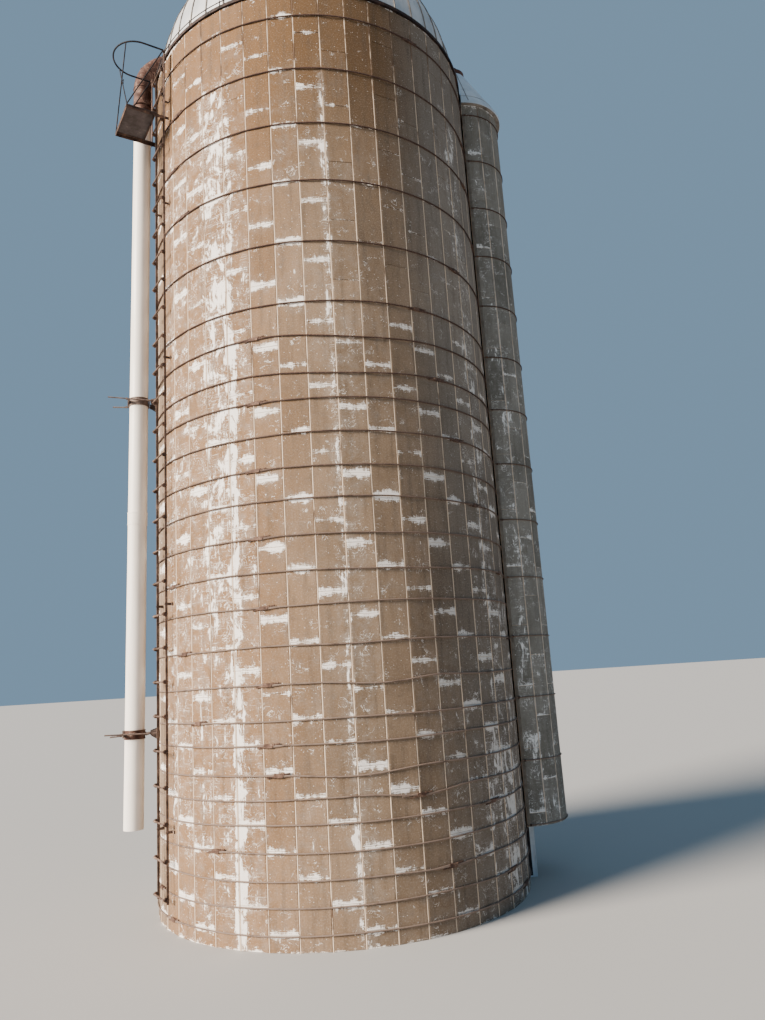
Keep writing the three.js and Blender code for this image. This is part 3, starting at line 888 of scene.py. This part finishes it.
def hoops():
    """The wall's hoops with their castings, and the flat bars beside the jambs that the rods end on."""
    ring = bent_rod("hoop", HOOP_ROD, 8, HOOP, stand(FAR_JAMB + HOOP_END, HOOP_R), 132,
                    360 - (FAR_JAMB - NEAR_JAMB) - 2 * HOOP_END)
    lug = lug_pattern()
    made = []
    for index, z in enumerate(HOOPS):
        hoop = copy(ring, moved(0, 0, z))
        for vertex in hoop.data.vertices:
            vertex.co.z += hang(index, bearing(vertex.co.x, vertex.co.y))
        made.append(hoop)
        for angle in lug_places(index):
            made.append(copy(lug, stand(angle, HOOP_R, z + hang(index, angle))))
    low, high = min(HOOPS) - 0.03, max(HOOPS) + 0.03
    for angle in (FAR_JAMB + STRIP_AT, NEAR_JAMB - STRIP_AT):
        bar = block("strip", (0.046, 0.008, high - low), (0, -0.004, (high + low) / 2), RUST)
        bar.data.transform(stand(angle, WALL_FACE))
        made.append(bar)
    fit("hoop_rods", made, "rusty_steel", "hoops")
    scrap(ring, lug)


def dome():
    """The hemisphere in six sectors, each of eight flat-across gores between standing seams."""
    gores = DOME_SECTORS * SECTOR_GORES
    wide = 360 // DOME_SECTORS
    shell = ball("dome", gores, 36, DOME_R, DOME_SHEET)
    shell.data.transform(turned(DOME_START - 90))
    for height, above in ((DOME_BASE + 0.0005, False), (DOME_BASE + DOME_R * cosine(DOME_EYE), True)):
        open_up(shell)
        bpy.ops.mesh.bisect(plane_co=(0, 0, height), plane_no=(0, 0, 1), clear_inner=not above,
                            clear_outer=above)
        put_down()
    # One standing seam along a meridian at -Y.
    rib = block("rib", (0.014, 0.022, 0.001), (0, -DOME_R - 0.001, DOME_BASE + 0.002), RIB)
    without(rib, lambda middle, way: way.z < 0.5)
    spun(rib, 20, DOME_EYE - 90, (0, 0, DOME_BASE), (1, 0, 0))
    for i in range(DOME_SECTORS):
        low = DOME_START + wide * i
        sector = without(copy(shell),
                         lambda middle, way: not 0 < (bearing(middle.x, middle.y) - low) % 360 < wide)
        parts = [applied(sector, "SOLIDIFY", thickness=SHEET)]
        parts += [copy(rib, stand(low + 360 / gores * j)) for j in range(SECTOR_GORES)]
        if i == 0:
            tool = neck_tube("tool", PIPE_R + 0.0175, 1.6)
            parts = [cut(part, tool) for part in parts]
            scrap(tool)
        number = str(i + 1)
        fit("dome_sector_" + number, parts, "galvanized_sheet", "roof_sector_" + number, smooth=6)
    scrap(shell, rib)


def neck_tube(name, radius, end, finish=None):
    """The round elbow from the head of the pipe, up, over and level to the given distance out."""
    tube = disc(name, radius, 24, (0, -PIPE_OFF_TOP, NECK_LOW), finish)
    open_up(tube)
    pull(0, 0, NECK_RISE - NECK_LOW)
    bpy.ops.mesh.spin(steps=20, angle=math.radians(90), center=(0, NECK_BEND - PIPE_OFF_TOP, NECK_RISE),
                      axis=(1, 0, 0))
    pull(0, PIPE_OFF_TOP - NECK_BEND - end, 0)
    close_up()
    tube.data.transform(stand(PIPE_AT))
    return tube


def roof_rim():
    """The angle iron that ties the dome down on the last course."""
    parts = []
    for name, deep, tall, out, z in (("leg", 0.006, 0.046, 2.2625, RIM_Z + 0.020),
                                     ("flange", 0.058, 0.006, 2.2360, RIM_Z)):
        leg = block(name, (0.001, deep, tall), (0, -out, z), RIM_RUST_AND_SHADE)
        parts.append(spun(without(leg, lambda middle, way: way.x < 0.5), 176, 360))
    fit("rim_angle", parts, "rusty_steel", "roof_rim")


def ring_rail():
    """The thin rod that runs above the rim on the ladder's side, on short posts."""
    reach = RIM_RAIL_TO - RIM_RAIL_FROM
    parts = [bent_rod("rail", 0.007, 6, DARK_STEEL, stand(RIM_RAIL_FROM, RIM_RAIL_R, RIM_RAIL_Z), 36, reach)]
    for i in range(7):
        angle = RIM_RAIL_FROM + 1 + i * (reach - 2) / 6
        foot, head = at(RIM_RAIL_R, angle, 10.935), at(RIM_RAIL_R, angle, RIM_RAIL_Z + 0.02)
        parts.append(rod("post", foot, head, 0.008, 6, DARK_STEEL))
    fit("rim_rail", parts, "rusty_steel")


def roof_cap():
    """The flat disc over the dome's eye, with a raised collar and bolts."""
    seat = DOME_BASE + 0.0003 + 2.2149 * cosine(DOME_EYE)
    bpy.ops.mesh.primitive_cylinder_add(vertices=48, radius=CAP_R, depth=0.008, location=(0, 0, seat + 0.004))
    cap = settled("cap", DOME_SHEET)
    stepped(cap, (0.11, 0.022, True), (0.018, 0.020, True), (0.06, 0.006, False))
    parts = [eased(cap, lambda middle, way: abs(way.z) < 0.1 and middle.z > seat + 0.007, 0.003)]
    for angle in range(0, 360, 30):
        foot, head = at(0.265, angle, seat + 0.006), at(0.265, angle, seat + 0.018)
        parts.append(rod("bolt", foot, head, 0.010, 6, RUST))
    fit("dome_cap", parts, "galvanized_sheet", "roof_cap")


def ladder():
    """Two flat stiles, round rungs that stand out from them, and stays back to the wall."""
    parts = []
    tall = LADDER_TOP - LADDER_LOW
    deep = LADDER_R - WALL_FACE
    bolt_y = -LADDER_R - 0.012
    for side in (-1, 1):
        middle = (side * LADDER_HALF, -LADDER_R, LADDER_LOW + tall / 2)
        parts.append(block("stile", (0.008, STILE_DEEP, tall), middle, STILE, upright, 0.002))
        for z in LADDER_STAYS:
            middle = (side * (LADDER_HALF - 0.007), -WALL_FACE - deep / 2, z)
            parts.append(block("stay", (0.006, deep, STILE_DEEP), middle, STILE))
            middle = (side * (LADDER_HALF + 0.016), -WALL_FACE - 0.004, z)
            parts.append(block("stay_foot", (0.050, 0.006, STILE_DEEP), middle, STILE))
            ends = (side * LADDER_HALF * 1.03, bolt_y, z), (side * LADDER_HALF * 0.9, bolt_y, z)
            parts.append(rod("bolt", *ends, 0.010, 6, STILE))
    parts += [rung(RUNG_FIRST + i * RUNG_STEP) for i in range(RUNGS)]
    fit("ladder_bars", parts, "rusty_steel", "ladder", place=stand(LADDER_AT))


def rung(z):
    """A round bar between two knobs on the stiles, bent out from them and back."""
    out = LADDER_R + RUNG_REACH
    half = LADDER_HALF + 0.0195
    knob_y = -LADDER_R - 0.024
    parts = [rod("rung", (-half, -out, z), (half, -out, z), RUNG_ROD, 8, STILE)]
    for side in (-1, 1):
        along = side * (LADDER_HALF + 0.010)
        parts.append(rod("rung", (along, -LADDER_R + 0.012, z), (along, -out, z), RUNG_ROD, 8, STILE))
        ends = (along - side * 0.016, knob_y, z), (along + side * 0.014, knob_y, z)
        knob = rod("knob", *ends, 0.024, 12, RUST)
        parts.append(eased(knob, lambda middle, way: abs(way.x) < 0.5, 0.006))
    return joined("rung", parts)


def platform():
    """The plate to stand on, in a frame of bars between two uprights."""
    size = (2 * DECK_HALF + 0.020, DECK_OUT - DECK_IN, 0.008)
    deck = block("deck", size, (0, -(DECK_OUT + DECK_IN) / 2, DECK_Z + 0.004), PLATE)
    stepped(deck, (0.006, -0.003, False))
    fit("deck", [deck], "rust_red_steel", "platform_deck", place=stand(DECK_AT))
    parts = []
    inner = WALL_OUT + 0.003
    reach, middle_y = DECK_OUT - inner, -(inner + DECK_OUT) / 2
    bar_z = DECK_Z - 0.0203
    for side in (-1, 1):
        along = side * DECK_HALF
        for size, middle in (((BAR_THICK, reach, BAR_HIGH), (along, middle_y, bar_z)),
                             ((BAR_HIGH, reach, BAR_THICK), (along - side * 0.02, middle_y, bar_z + 0.017))):
            parts.append(block("bearer", size, middle, RUST, lambda middle, way: True, 0.001))
        size = (0.050, 0.010, RAIL_Z + 0.060 - DECK_Z)
        middle = (along, -UPRIGHT_R, (DECK_Z - 0.040 + RAIL_Z + 0.020) / 2)
        parts.append(block("upright", size, middle, RUST, upright, 0.002))
        for z in (DECK_Z - 0.012, DECK_Z + 0.30, DECK_Z + 0.66, RAIL_Z - 0.012):
            parts.append(pin("bolt", along, -UPRIGHT_R - 0.003, z, 0.013, 0.012, RUST))
    for out in (DECK_OUT - 0.006, DECK_IN + 0.020):
        parts.append(block("cross", (2 * DECK_HALF, BAR_THICK, BAR_HIGH), (0, -out, bar_z), RUST))
    fit("platform_bars", parts, "rusty_steel", "platform_frame", place=stand(DECK_AT))


def on_rail(degrees, start=RAIL_BEND):
    """A point on the guard rail, in degrees round its bend from the outermost point."""
    return RAIL_HALF * sine(degrees), -start - (RAIL_OUT - RAIL_BEND) * cosine(degrees), RAIL_Z


def guard_rail():
    """The bent rail over the platform, its crossed braces, and a wire hook on one of them."""
    rail = disc("rail", 0.011, 10, (0, 0, 0), DARK_STEEL, 90)
    rail.data.transform(moved(-RAIL_HALF, -RAIL_START, RAIL_Z) @ turned(90))
    open_up(rail)
    run = RAIL_BEND - RAIL_START
    pull(0, -run, 0)
    bpy.ops.mesh.spin(steps=28, angle=math.radians(-180), center=(0, -RAIL_BEND, RAIL_Z), axis=(0, 0, 1))
    pull(0, run, 0)
    close_up()
    pick(rail, lambda middle, way: middle.y < -RAIL_BEND - 0.001)
    flat = (RAIL_OUT - RAIL_BEND) / RAIL_HALF
    bpy.ops.transform.resize(value=(1, flat, 1), center_override=(0, -RAIL_BEND, RAIL_Z))
    put_down()
    near_foot, far_foot = [(side * DECK_HALF, -DECK_OUT + 0.008, DECK_Z + 0.015) for side in (1, -1)]
    parts = [rail]
    for top, foot in ((on_rail(-55), near_foot), (on_rail(48), far_foot),
                      (on_rail(90, RAIL_START), near_foot), (on_rail(-90, RAIL_START), far_foot)):
        parts.append(rod("brace", top, foot, BRACE_ROD, 8, DARK_STEEL))
    hook = bent_rod("hook", 0.004, 6, DARK_STEEL, moved(0, -0.032, 0), 12, 210)
    spot = Vector(on_rail(-55)).lerp(Vector(near_foot), 0.44)
    hook.data.transform(moved(*spot) @ turned(90, "X") @ moved(0.030, 0, 0))
    fit("rail_bars", parts + [hook], "rusty_steel", "guard_rail", place=stand(DECK_AT))


def pipe_out(z):
    return PIPE_OFF_LOW + (PIPE_OFF_TOP - PIPE_OFF_LOW) * (z - PIPE_LOW) / (PIPE_TOP - PIPE_LOW)


def tube(name, outer, inner, low, high, finish):
    """A length of tube on the pipe's leaning line, its two faces counted from the pipe's own."""
    start, end = at(pipe_out(low), PIPE_AT, low), at(pipe_out(high), PIPE_AT, high)
    piece = rod(name, start, end, PIPE_R + outer, 40, finish)
    line = (end - start).normalized()
    without(piece, lambda middle, way: abs(way.dot(line)) > 0.99)
    return applied(piece, "SOLIDIFY", thickness=outer - inner)


def fill_pipe():
    """The pipe in two lengths, the lower one widened into a bell round the foot of the upper one."""
    bore = PIPE_BORE - PIPE_R
    top = PIPE_SEAM - 0.001
    upper = tube("pipe", 0, bore, PIPE_SEAM + 0.0003, PIPE_TOP, PIPE)
    lower = [tube("pipe", 0, bore, PIPE_LOW, PIPE_SEAM, PIPE),
             tube("bell", 0.004, -0.001, PIPE_SEAM - 0.16, top, PIPE),
             tube("lip", 0.007, -0.001, PIPE_SEAM - 0.020, top, PIPE)]
    fit("pipe_upper", [upper], "white_pipe", "fill_pipe_3", "fill_pipe_4", "fill_pipe_5")
    fit("pipe_lower", lower, "white_pipe", "fill_pipe_1", "fill_pipe_2")


def brackets():
    """A band round the pipe, cross bars before and behind it, and a long rod past each side."""
    for place, z, finish in (("upper", 6.190, CLAMP), ("lower", 2.055, NECK)):
        band = tube("band", 0.006, SNUG, z - BAND_HALF, z + BAND_HALF, finish)
        parts = yoke_side(z, 1, YOKE_REACH[0]) + yoke_side(z, -1, YOKE_REACH[1])
        size = (2 * PIPE_R + 0.09, 0.008, 0.070)
        parts.append(block("plate", size, (0, -WALL_OUT - 0.008, z), RUST, endways, 0.008))
        made = joined("clamp", parts)
        made.data.transform(stand(PIPE_AT))
        lips = [tube("lip", 0.010, SNUG, z + lift - 0.006, z + lift + 0.006, finish)
                for lift in (-0.046, 0.046)]
        fit("clamp_" + place, [band, made] + lips, "rusty_steel", "pipe_bracket_" + place)


def yoke_side(z, side, reach):
    """One side of a bracket: rod, nuts, tab, cross bar, and the bolt and gusset at the wall."""
    out = pipe_out(z)
    along = side * YOKE_HALF
    lift = side * 0.020
    parts = [rod("tie", (along, -WALL_FACE, z), (along, -reach, z + lift), 0.0085, 8, CLAMP)]
    for step in (-0.155, 0.155):
        parts.append(pin("nut", along, -out - step + 0.010, z + lift * 0.5, 0.020, 0.017, CLAMP))
    parts.append(block("tab", (0.012, 0.026, 0.085), (side * 0.035, -out - PIPE_R - 0.014, z + 0.008), CLAMP))
    middle = (0, -out - side * (PIPE_R + 0.014), z)
    parts.append(block("cross", (2 * YOKE_HALF, 0.010, 0.036), middle, CLAMP, upright, 0.003))
    parts.append(pin("bolt", side * 0.115, -WALL_OUT - 0.010, z, 0.016, 0.012, RUST))
    gusset = block("gusset", (0.008, 0.080, 0.130), (side * 0.100, -WALL_OUT - 0.052, z - 0.010), CLAMP)
    pick(gusset, lambda middle, way: way.y < -0.9)
    bpy.ops.transform.resize(value=(1, 1, 0.4), center_override=(0, 0, z + 0.010))
    put_down()
    return parts + [gusset]


def gooseneck():
    """The elbow with its seams, and the flange, collar and sleeve at its foot."""
    outer = neck_tube("neck", PIPE_R + 0.008, NECK_END, NECK)
    parts = [applied(without(outer, end_of_neck), "SOLIDIFY", thickness=0.004)]
    parts += [neck_band(turn) for turn in (0, 30, 60, 88)]
    parts += [tube("flange", 0.022, 0.009, NECK_LOW, NECK_LOW + 0.012, NECK),
              tube("collar", 0.013, 0.007, NECK_LOW, NECK_LOW + 0.06, NECK),
              tube("sleeve", 0.006, SNUG, NECK_LOW - 0.26, NECK_LOW, NECK)]
    fit("elbow", parts, "rust_red_steel", "gooseneck")


def end_of_neck(middle, way):
    """Whether a face is one of the elbow's two flat ends."""
    inward = -at(1, PIPE_AT)
    out = -middle.dot(inward)
    at_foot = way.z < -0.99 and middle.z < PIPE_TOP + 0.01
    return at_foot or (way.dot(inward) > 0.99 and out < NECK_END + 0.001)


def neck_band(turn):
    """A raised seam round the elbow, at a place along its bend."""
    band = ring_bar("band", PIPE_R + 0.009, 0.006, 32, 6, (0, -NECK_BEND, 0), NECK)
    bend = moved(0, NECK_BEND - PIPE_OFF_TOP, NECK_RISE) @ turned(-turn, "X")
    band.data.transform(stand(PIPE_AT) @ bend)
    return band


CHUTE_MIDDLE = at(CHUTE_OFF, CHUTE_AT)


def about_chute(degrees, height=0.0):
    """Turns a part made round the origin to its place round the chute's own axis."""
    return Matrix.Translation(CHUTE_MIDDLE) @ turned(CHUTE_AT + degrees) @ moved(0, 0, height)


def over_chute(height):
    return CHUTE_MIDDLE + Vector((0, 0, height))


def chute_walls():
    """Curved staves in eight columns, over a mortar lining."""
    gap = math.degrees(CHUTE_JOINT / CHUTE_OUT)
    whole = (CHUTE_LOW, CHUTE_TOP, MORTAR)
    for i in range(CHUTE_STAVES // 2):
        parts = []
        for j in (2 * i, 2 * i + 1):
            low = -CHUTE_HALF + j * CHUTE_STEP
            high = low + CHUTE_STEP
            parts.append(chute_sector(low + 0.02, high - 0.02, CHUTE_IN, CHUTE_OUT - 0.005, *whole))
            parts += chute_column(j, low + gap / 2, high - gap / 2)
            edge = low if j == 0 else low - 0.35
            parts.append(chute_sector(edge, edge + 0.7, CHUTE_OUT - 0.012, CHUTE_OUT - 0.001, *whole))
        number = str(i + 1)
        fit("chute_wall_" + number, parts, "stave_concrete", "chute_panel_" + number, smooth=15)


def chute_sector(first, last, inner, outer, low, high, finish):
    """A curved slab round the chute's axis."""
    bpy.ops.mesh.primitive_plane_add(size=1, rotation=(0, math.radians(90), 0))
    slab = settled("slab", finish)
    size = Matrix.Diagonal((1, outer - inner, high - low, 1))
    slab.data.transform(moved(0, -(inner + outer) / 2, (low + high) / 2) @ size)
    slab.data.transform(turned(first))
    spun(slab, 4, last - first)
    slab.data.transform(about_chute(0))
    return slab


def chute_column(column, first, last):
    ends = stave_ends(CHUTE_TOP, CHUTE_TOP - CHUTE_JOINTS[column % 2], CHUTE_LOW)
    wide = 0.257
    start = 20 + column * wide
    made = []
    for top, foot in zip(ends, ends[1:]):
        outer = CHUTE_OUT - chance.uniform(0, 0.0015)
        stave = chute_sector(first, last, CHUTE_OUT - 0.030, outer, foot + 0.002, top - 0.002, CHUTE)
        lay_map(stave, "Stave", lambda co: (chute_share(co, first, last), co.z - foot))
        lay_map(stave, "Wall", lambda co: (start + chute_share(co, first, last) * wide, co.z))
        wash = 0.26 + 0.20 * max(0.0, 1 - foot / 4) + chance.uniform(-0.12, 0.12)
        mark(stave, tone=chance.random(), wash=wash, high=top - foot, bar_top=chance.uniform(-1.3, 0.5),
             bar_foot=chance.uniform(-1.3, 0.5))
        made.append(stave)
    return made


def chute_share(co, first, last):
    """How far across a column of the chute a corner is, from 0 to 1."""
    angle = bearing(co.x - CHUTE_MIDDLE.x, co.y - CHUTE_MIDDLE.y) - CHUTE_AT
    return ((angle + 180) % 360 - 180 - first) / (last - first)


def chute_rods():
    """The chute's hoops, their nuts, and the flat bars they end on."""
    parts = []
    ring = bent_rod("chute_hoop", 0.0068, 8, HOOP, stand(-CHUTE_HALF + 0.3, CHUTE_HOOP_R), 40,
                    2 * CHUTE_HALF - 0.6)
    for i in range(CHUTE_HOOPS):
        z = max(CHUTE_HOOP_FIRST - i * STAVE_HIGH, CHUTE_LOW + 0.022)
        parts.append(copy(ring, about_chute(0, z)))
        for side in (-1, 1):
            nut = rod("nut", (0, -CHUTE_HOOP_R, 0), (0.02, -CHUTE_HOOP_R, 0), 0.014, 6, RUST)
            nut.data.transform(about_chute(side * (CHUTE_HALF - 3), z))
            parts.append(nut)
    for side in (-1, 1):
        middle = side * (CHUTE_HALF - 2.2)
        parts.append(chute_sector(middle - 1.8, middle + 1.8, CHUTE_OUT + 0.0002, CHUTE_OUT + 0.006,
                                  CHUTE_LOW + 0.004, CHUTE_HOOP_FIRST + 0.020, CHUTE_STRIP))
    fit("chute_rods", parts, "rusty_steel", "chute_hoops")
    scrap(ring)


def chute_cone():
    """The sheet cone over the chute with its laps and rolled eave, cut back round the dome."""
    bend = CONE_FOOT + EAVE_HIGH
    bpy.ops.mesh.primitive_cone_add(vertices=64, radius1=EAVE_R, radius2=PEAK_R, depth=CONE_RISE,
                                    end_fill_type="NOTHING", location=over_chute(bend + CONE_RISE / 2))
    cone = settled("cone", CONE_SHEET)
    pick(cone, lambda middle, way: abs(way.z) < 0.01 and middle.z < bend + 0.01, "EDGE")
    pull(0, 0, -EAVE_HIGH)
    put_down()
    pieces = [applied(cone, "SOLIDIFY", thickness=SHEET),
              ring_bar("eave_bead", EAVE_R - 0.006, 0.005, 64, 8, over_chute(CONE_FOOT + 0.006), CONE_SHEET)]
    soffit = disc("soffit", EAVE_R - 0.004, 64, over_chute(CONE_FOOT + 0.002), RIB)
    pick(soffit, lambda middle, way: True)
    bpy.ops.mesh.inset(thickness=EAVE_R - CHUTE_OUT + 0.020)
    bpy.ops.mesh.delete(type="FACE")
    put_down()
    pieces.append(applied(soffit, "SOLIDIFY", thickness=0.0015))
    lap = 0.13
    lap_r = EAVE_R - (EAVE_R - PEAK_R) / CONE_RISE * lap
    pieces.append(ring_bar("lap", lap_r, 0.004, 64, 6, over_chute(bend + lap), RIB))
    for angle in range(6, 360, 60):
        low, high = at(EAVE_R, angle, bend + 0.002), at(PEAK_R, angle, CHUTE_PEAK)
        pieces.append(rod("seam", CHUTE_MIDDLE + low, CHUTE_MIDDLE + high, 0.006, 6, RIB))
    tool = ball("tool", 96, 48, DOME_CLEAR)
    bpy.ops.mesh.primitive_cylinder_add(vertices=96, radius=RIM_CLEAR, depth=1.0, location=(0, 0, 10.45))
    rim_tool = settled("tool")
    pieces = [cut(cut(piece, tool), rim_tool) for piece in pieces]
    left = [piece for piece in pieces if piece.data.polygons]
    scrap(tool, rim_tool, *[piece for piece in pieces if piece not in left])
    fit("chute_cone", left, "galvanized_sheet", "chute_roof")


def chute_cap():
    """The rusty lid over the cone's eye, with a short vent on it, cut back where it meets the dome."""
    lid = PEAK_R + 0.002
    bpy.ops.mesh.primitive_cylinder_add(vertices=32, radius=lid, depth=0.070,
                                        location=over_chute(CHUTE_PEAK + 0.0353))
    cap = settled("cap", NECK)
    stepped(cap, (lid - 0.100, 0.028, False), (0.014, 0.074, True), (0.040, 0.012, False))
    rim = ring_bar("lid_bead", lid - 0.005, 0.005, 32, 6, over_chute(CHUTE_PEAK + 0.010), NECK)
    tool = ball("tool", 96, 48, DOME_CLEAR)
    parts = [cut(cap, tool), cut(rim, tool)]
    scrap(tool)
    fit("cone_cap", parts, "rust_red_steel", "chute_roof_cap")


def doors():
    """Boarded doors stacked between the jambs, with two battens on each, and at each jamb a near-black strip
    that is painted shadow for the gap there.
    """
    half = WALL_OUT * sine(STAVE_STEP) - 0.027
    wide = 2 * half / 3
    count = round(WALL_TOP / STAVE_HIGH)
    tall = WALL_TOP / count
    parts = []
    for i in range(count):
        foot = i * tall
        for j in (-1, 0, 1):
            middle = (j * wide, -DOOR_R, foot + tall / 2)
            parts.append(block("board", (wide - 0.003, 0.034, tall - 0.008), middle, WOOD,
                               lambda middle, way: middle.y < -DOOR_R - 0.008, 0.003))
        for lift in (0.22, 0.78):
            middle = (0, -DOOR_R - 0.0165, foot + tall * lift)
            parts.append(block("batten", (2 * half - 0.03, 0.006, 0.09), middle, WOOD))
    for side in (-1, 1):
        # A near-black strip by each jamb: painted shadow standing in for the dark gap beside the door frame.
        parts.append(block("painted_shadow_strip", (0.002, 0.050, 10.78), (side * 0.3110, -SHADOW_STRIP_R, 5.41), DARK_STEEL))
    fit("door_boards", parts, "door_wood", "doors", place=stand((NEAR_JAMB + FAR_JAMB) / 2))


def carried_over():
    """Finishes for the solids whose shape is right as it is."""
    for node, finish in {"floor_slab": floor_finish(), "door_frame": FRAME_STEEL}.items():
        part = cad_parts[node]
        part.data.materials.clear()
        part.data.materials.append(finish)


wall_panels()
hoops()
dome()
roof_rim()
ring_rail()
roof_cap()
ladder()
platform()
guard_rail()
fill_pipe()
brackets()
gooseneck()
chute_walls()
chute_rods()
chute_cone()
chute_cap()
doors()
carried_over()


def camera():
    """Stands where the photograph was taken, with the same tilt and roll."""
    data = bpy.data.cameras.new("camera")
    data.sensor_fit = "AUTO"
    data.sensor_width = 36
    data.lens = LENS_PIXELS / PHOTO_HIGH * 36
    made = bpy.data.objects.new("camera", data)
    turn = [Matrix.Rotation(angle, 4, axis) for angle, axis in CAMERA_TURN]
    made.matrix_world = moved(*CAMERA_PLACE) @ turn[0] @ turn[1] @ turn[2]
    bpy.context.collection.objects.link(made)
    bpy.context.scene.camera = made


def floor():
    bpy.ops.mesh.primitive_plane_add(size=400, location=(0, 0, 0))
    plane = settled("floor")
    plane.data.materials.append(Finish("pale_floor", Roughness=0.9).paint(Base_Color="A8A7A5"))


def studio():
    """One soft warm lamp from the left, and an even blue backdrop."""
    data = bpy.data.lights.new("key", "SUN")
    data.energy = 14.5
    data.color = (1.0, 0.88, 0.75)
    data.angle = math.radians(24)
    lamp = bpy.data.objects.new("key", data)
    lamp.location = (-12.5, -6.1, 6.2)
    lamp.rotation_euler = (-lamp.location).to_track_quat("-Z", "Y").to_euler()
    bpy.context.collection.objects.link(lamp)
    world = bpy.data.worlds.new("studio")
    world.use_nodes = True
    sky = world.node_tree.nodes["Background"]
    sky.inputs["Color"].default_value = (0.31, 0.49, 0.69, 1)
    sky.inputs["Strength"].default_value = 0.62
    bpy.context.scene.world = world


camera()
floor()
studio()
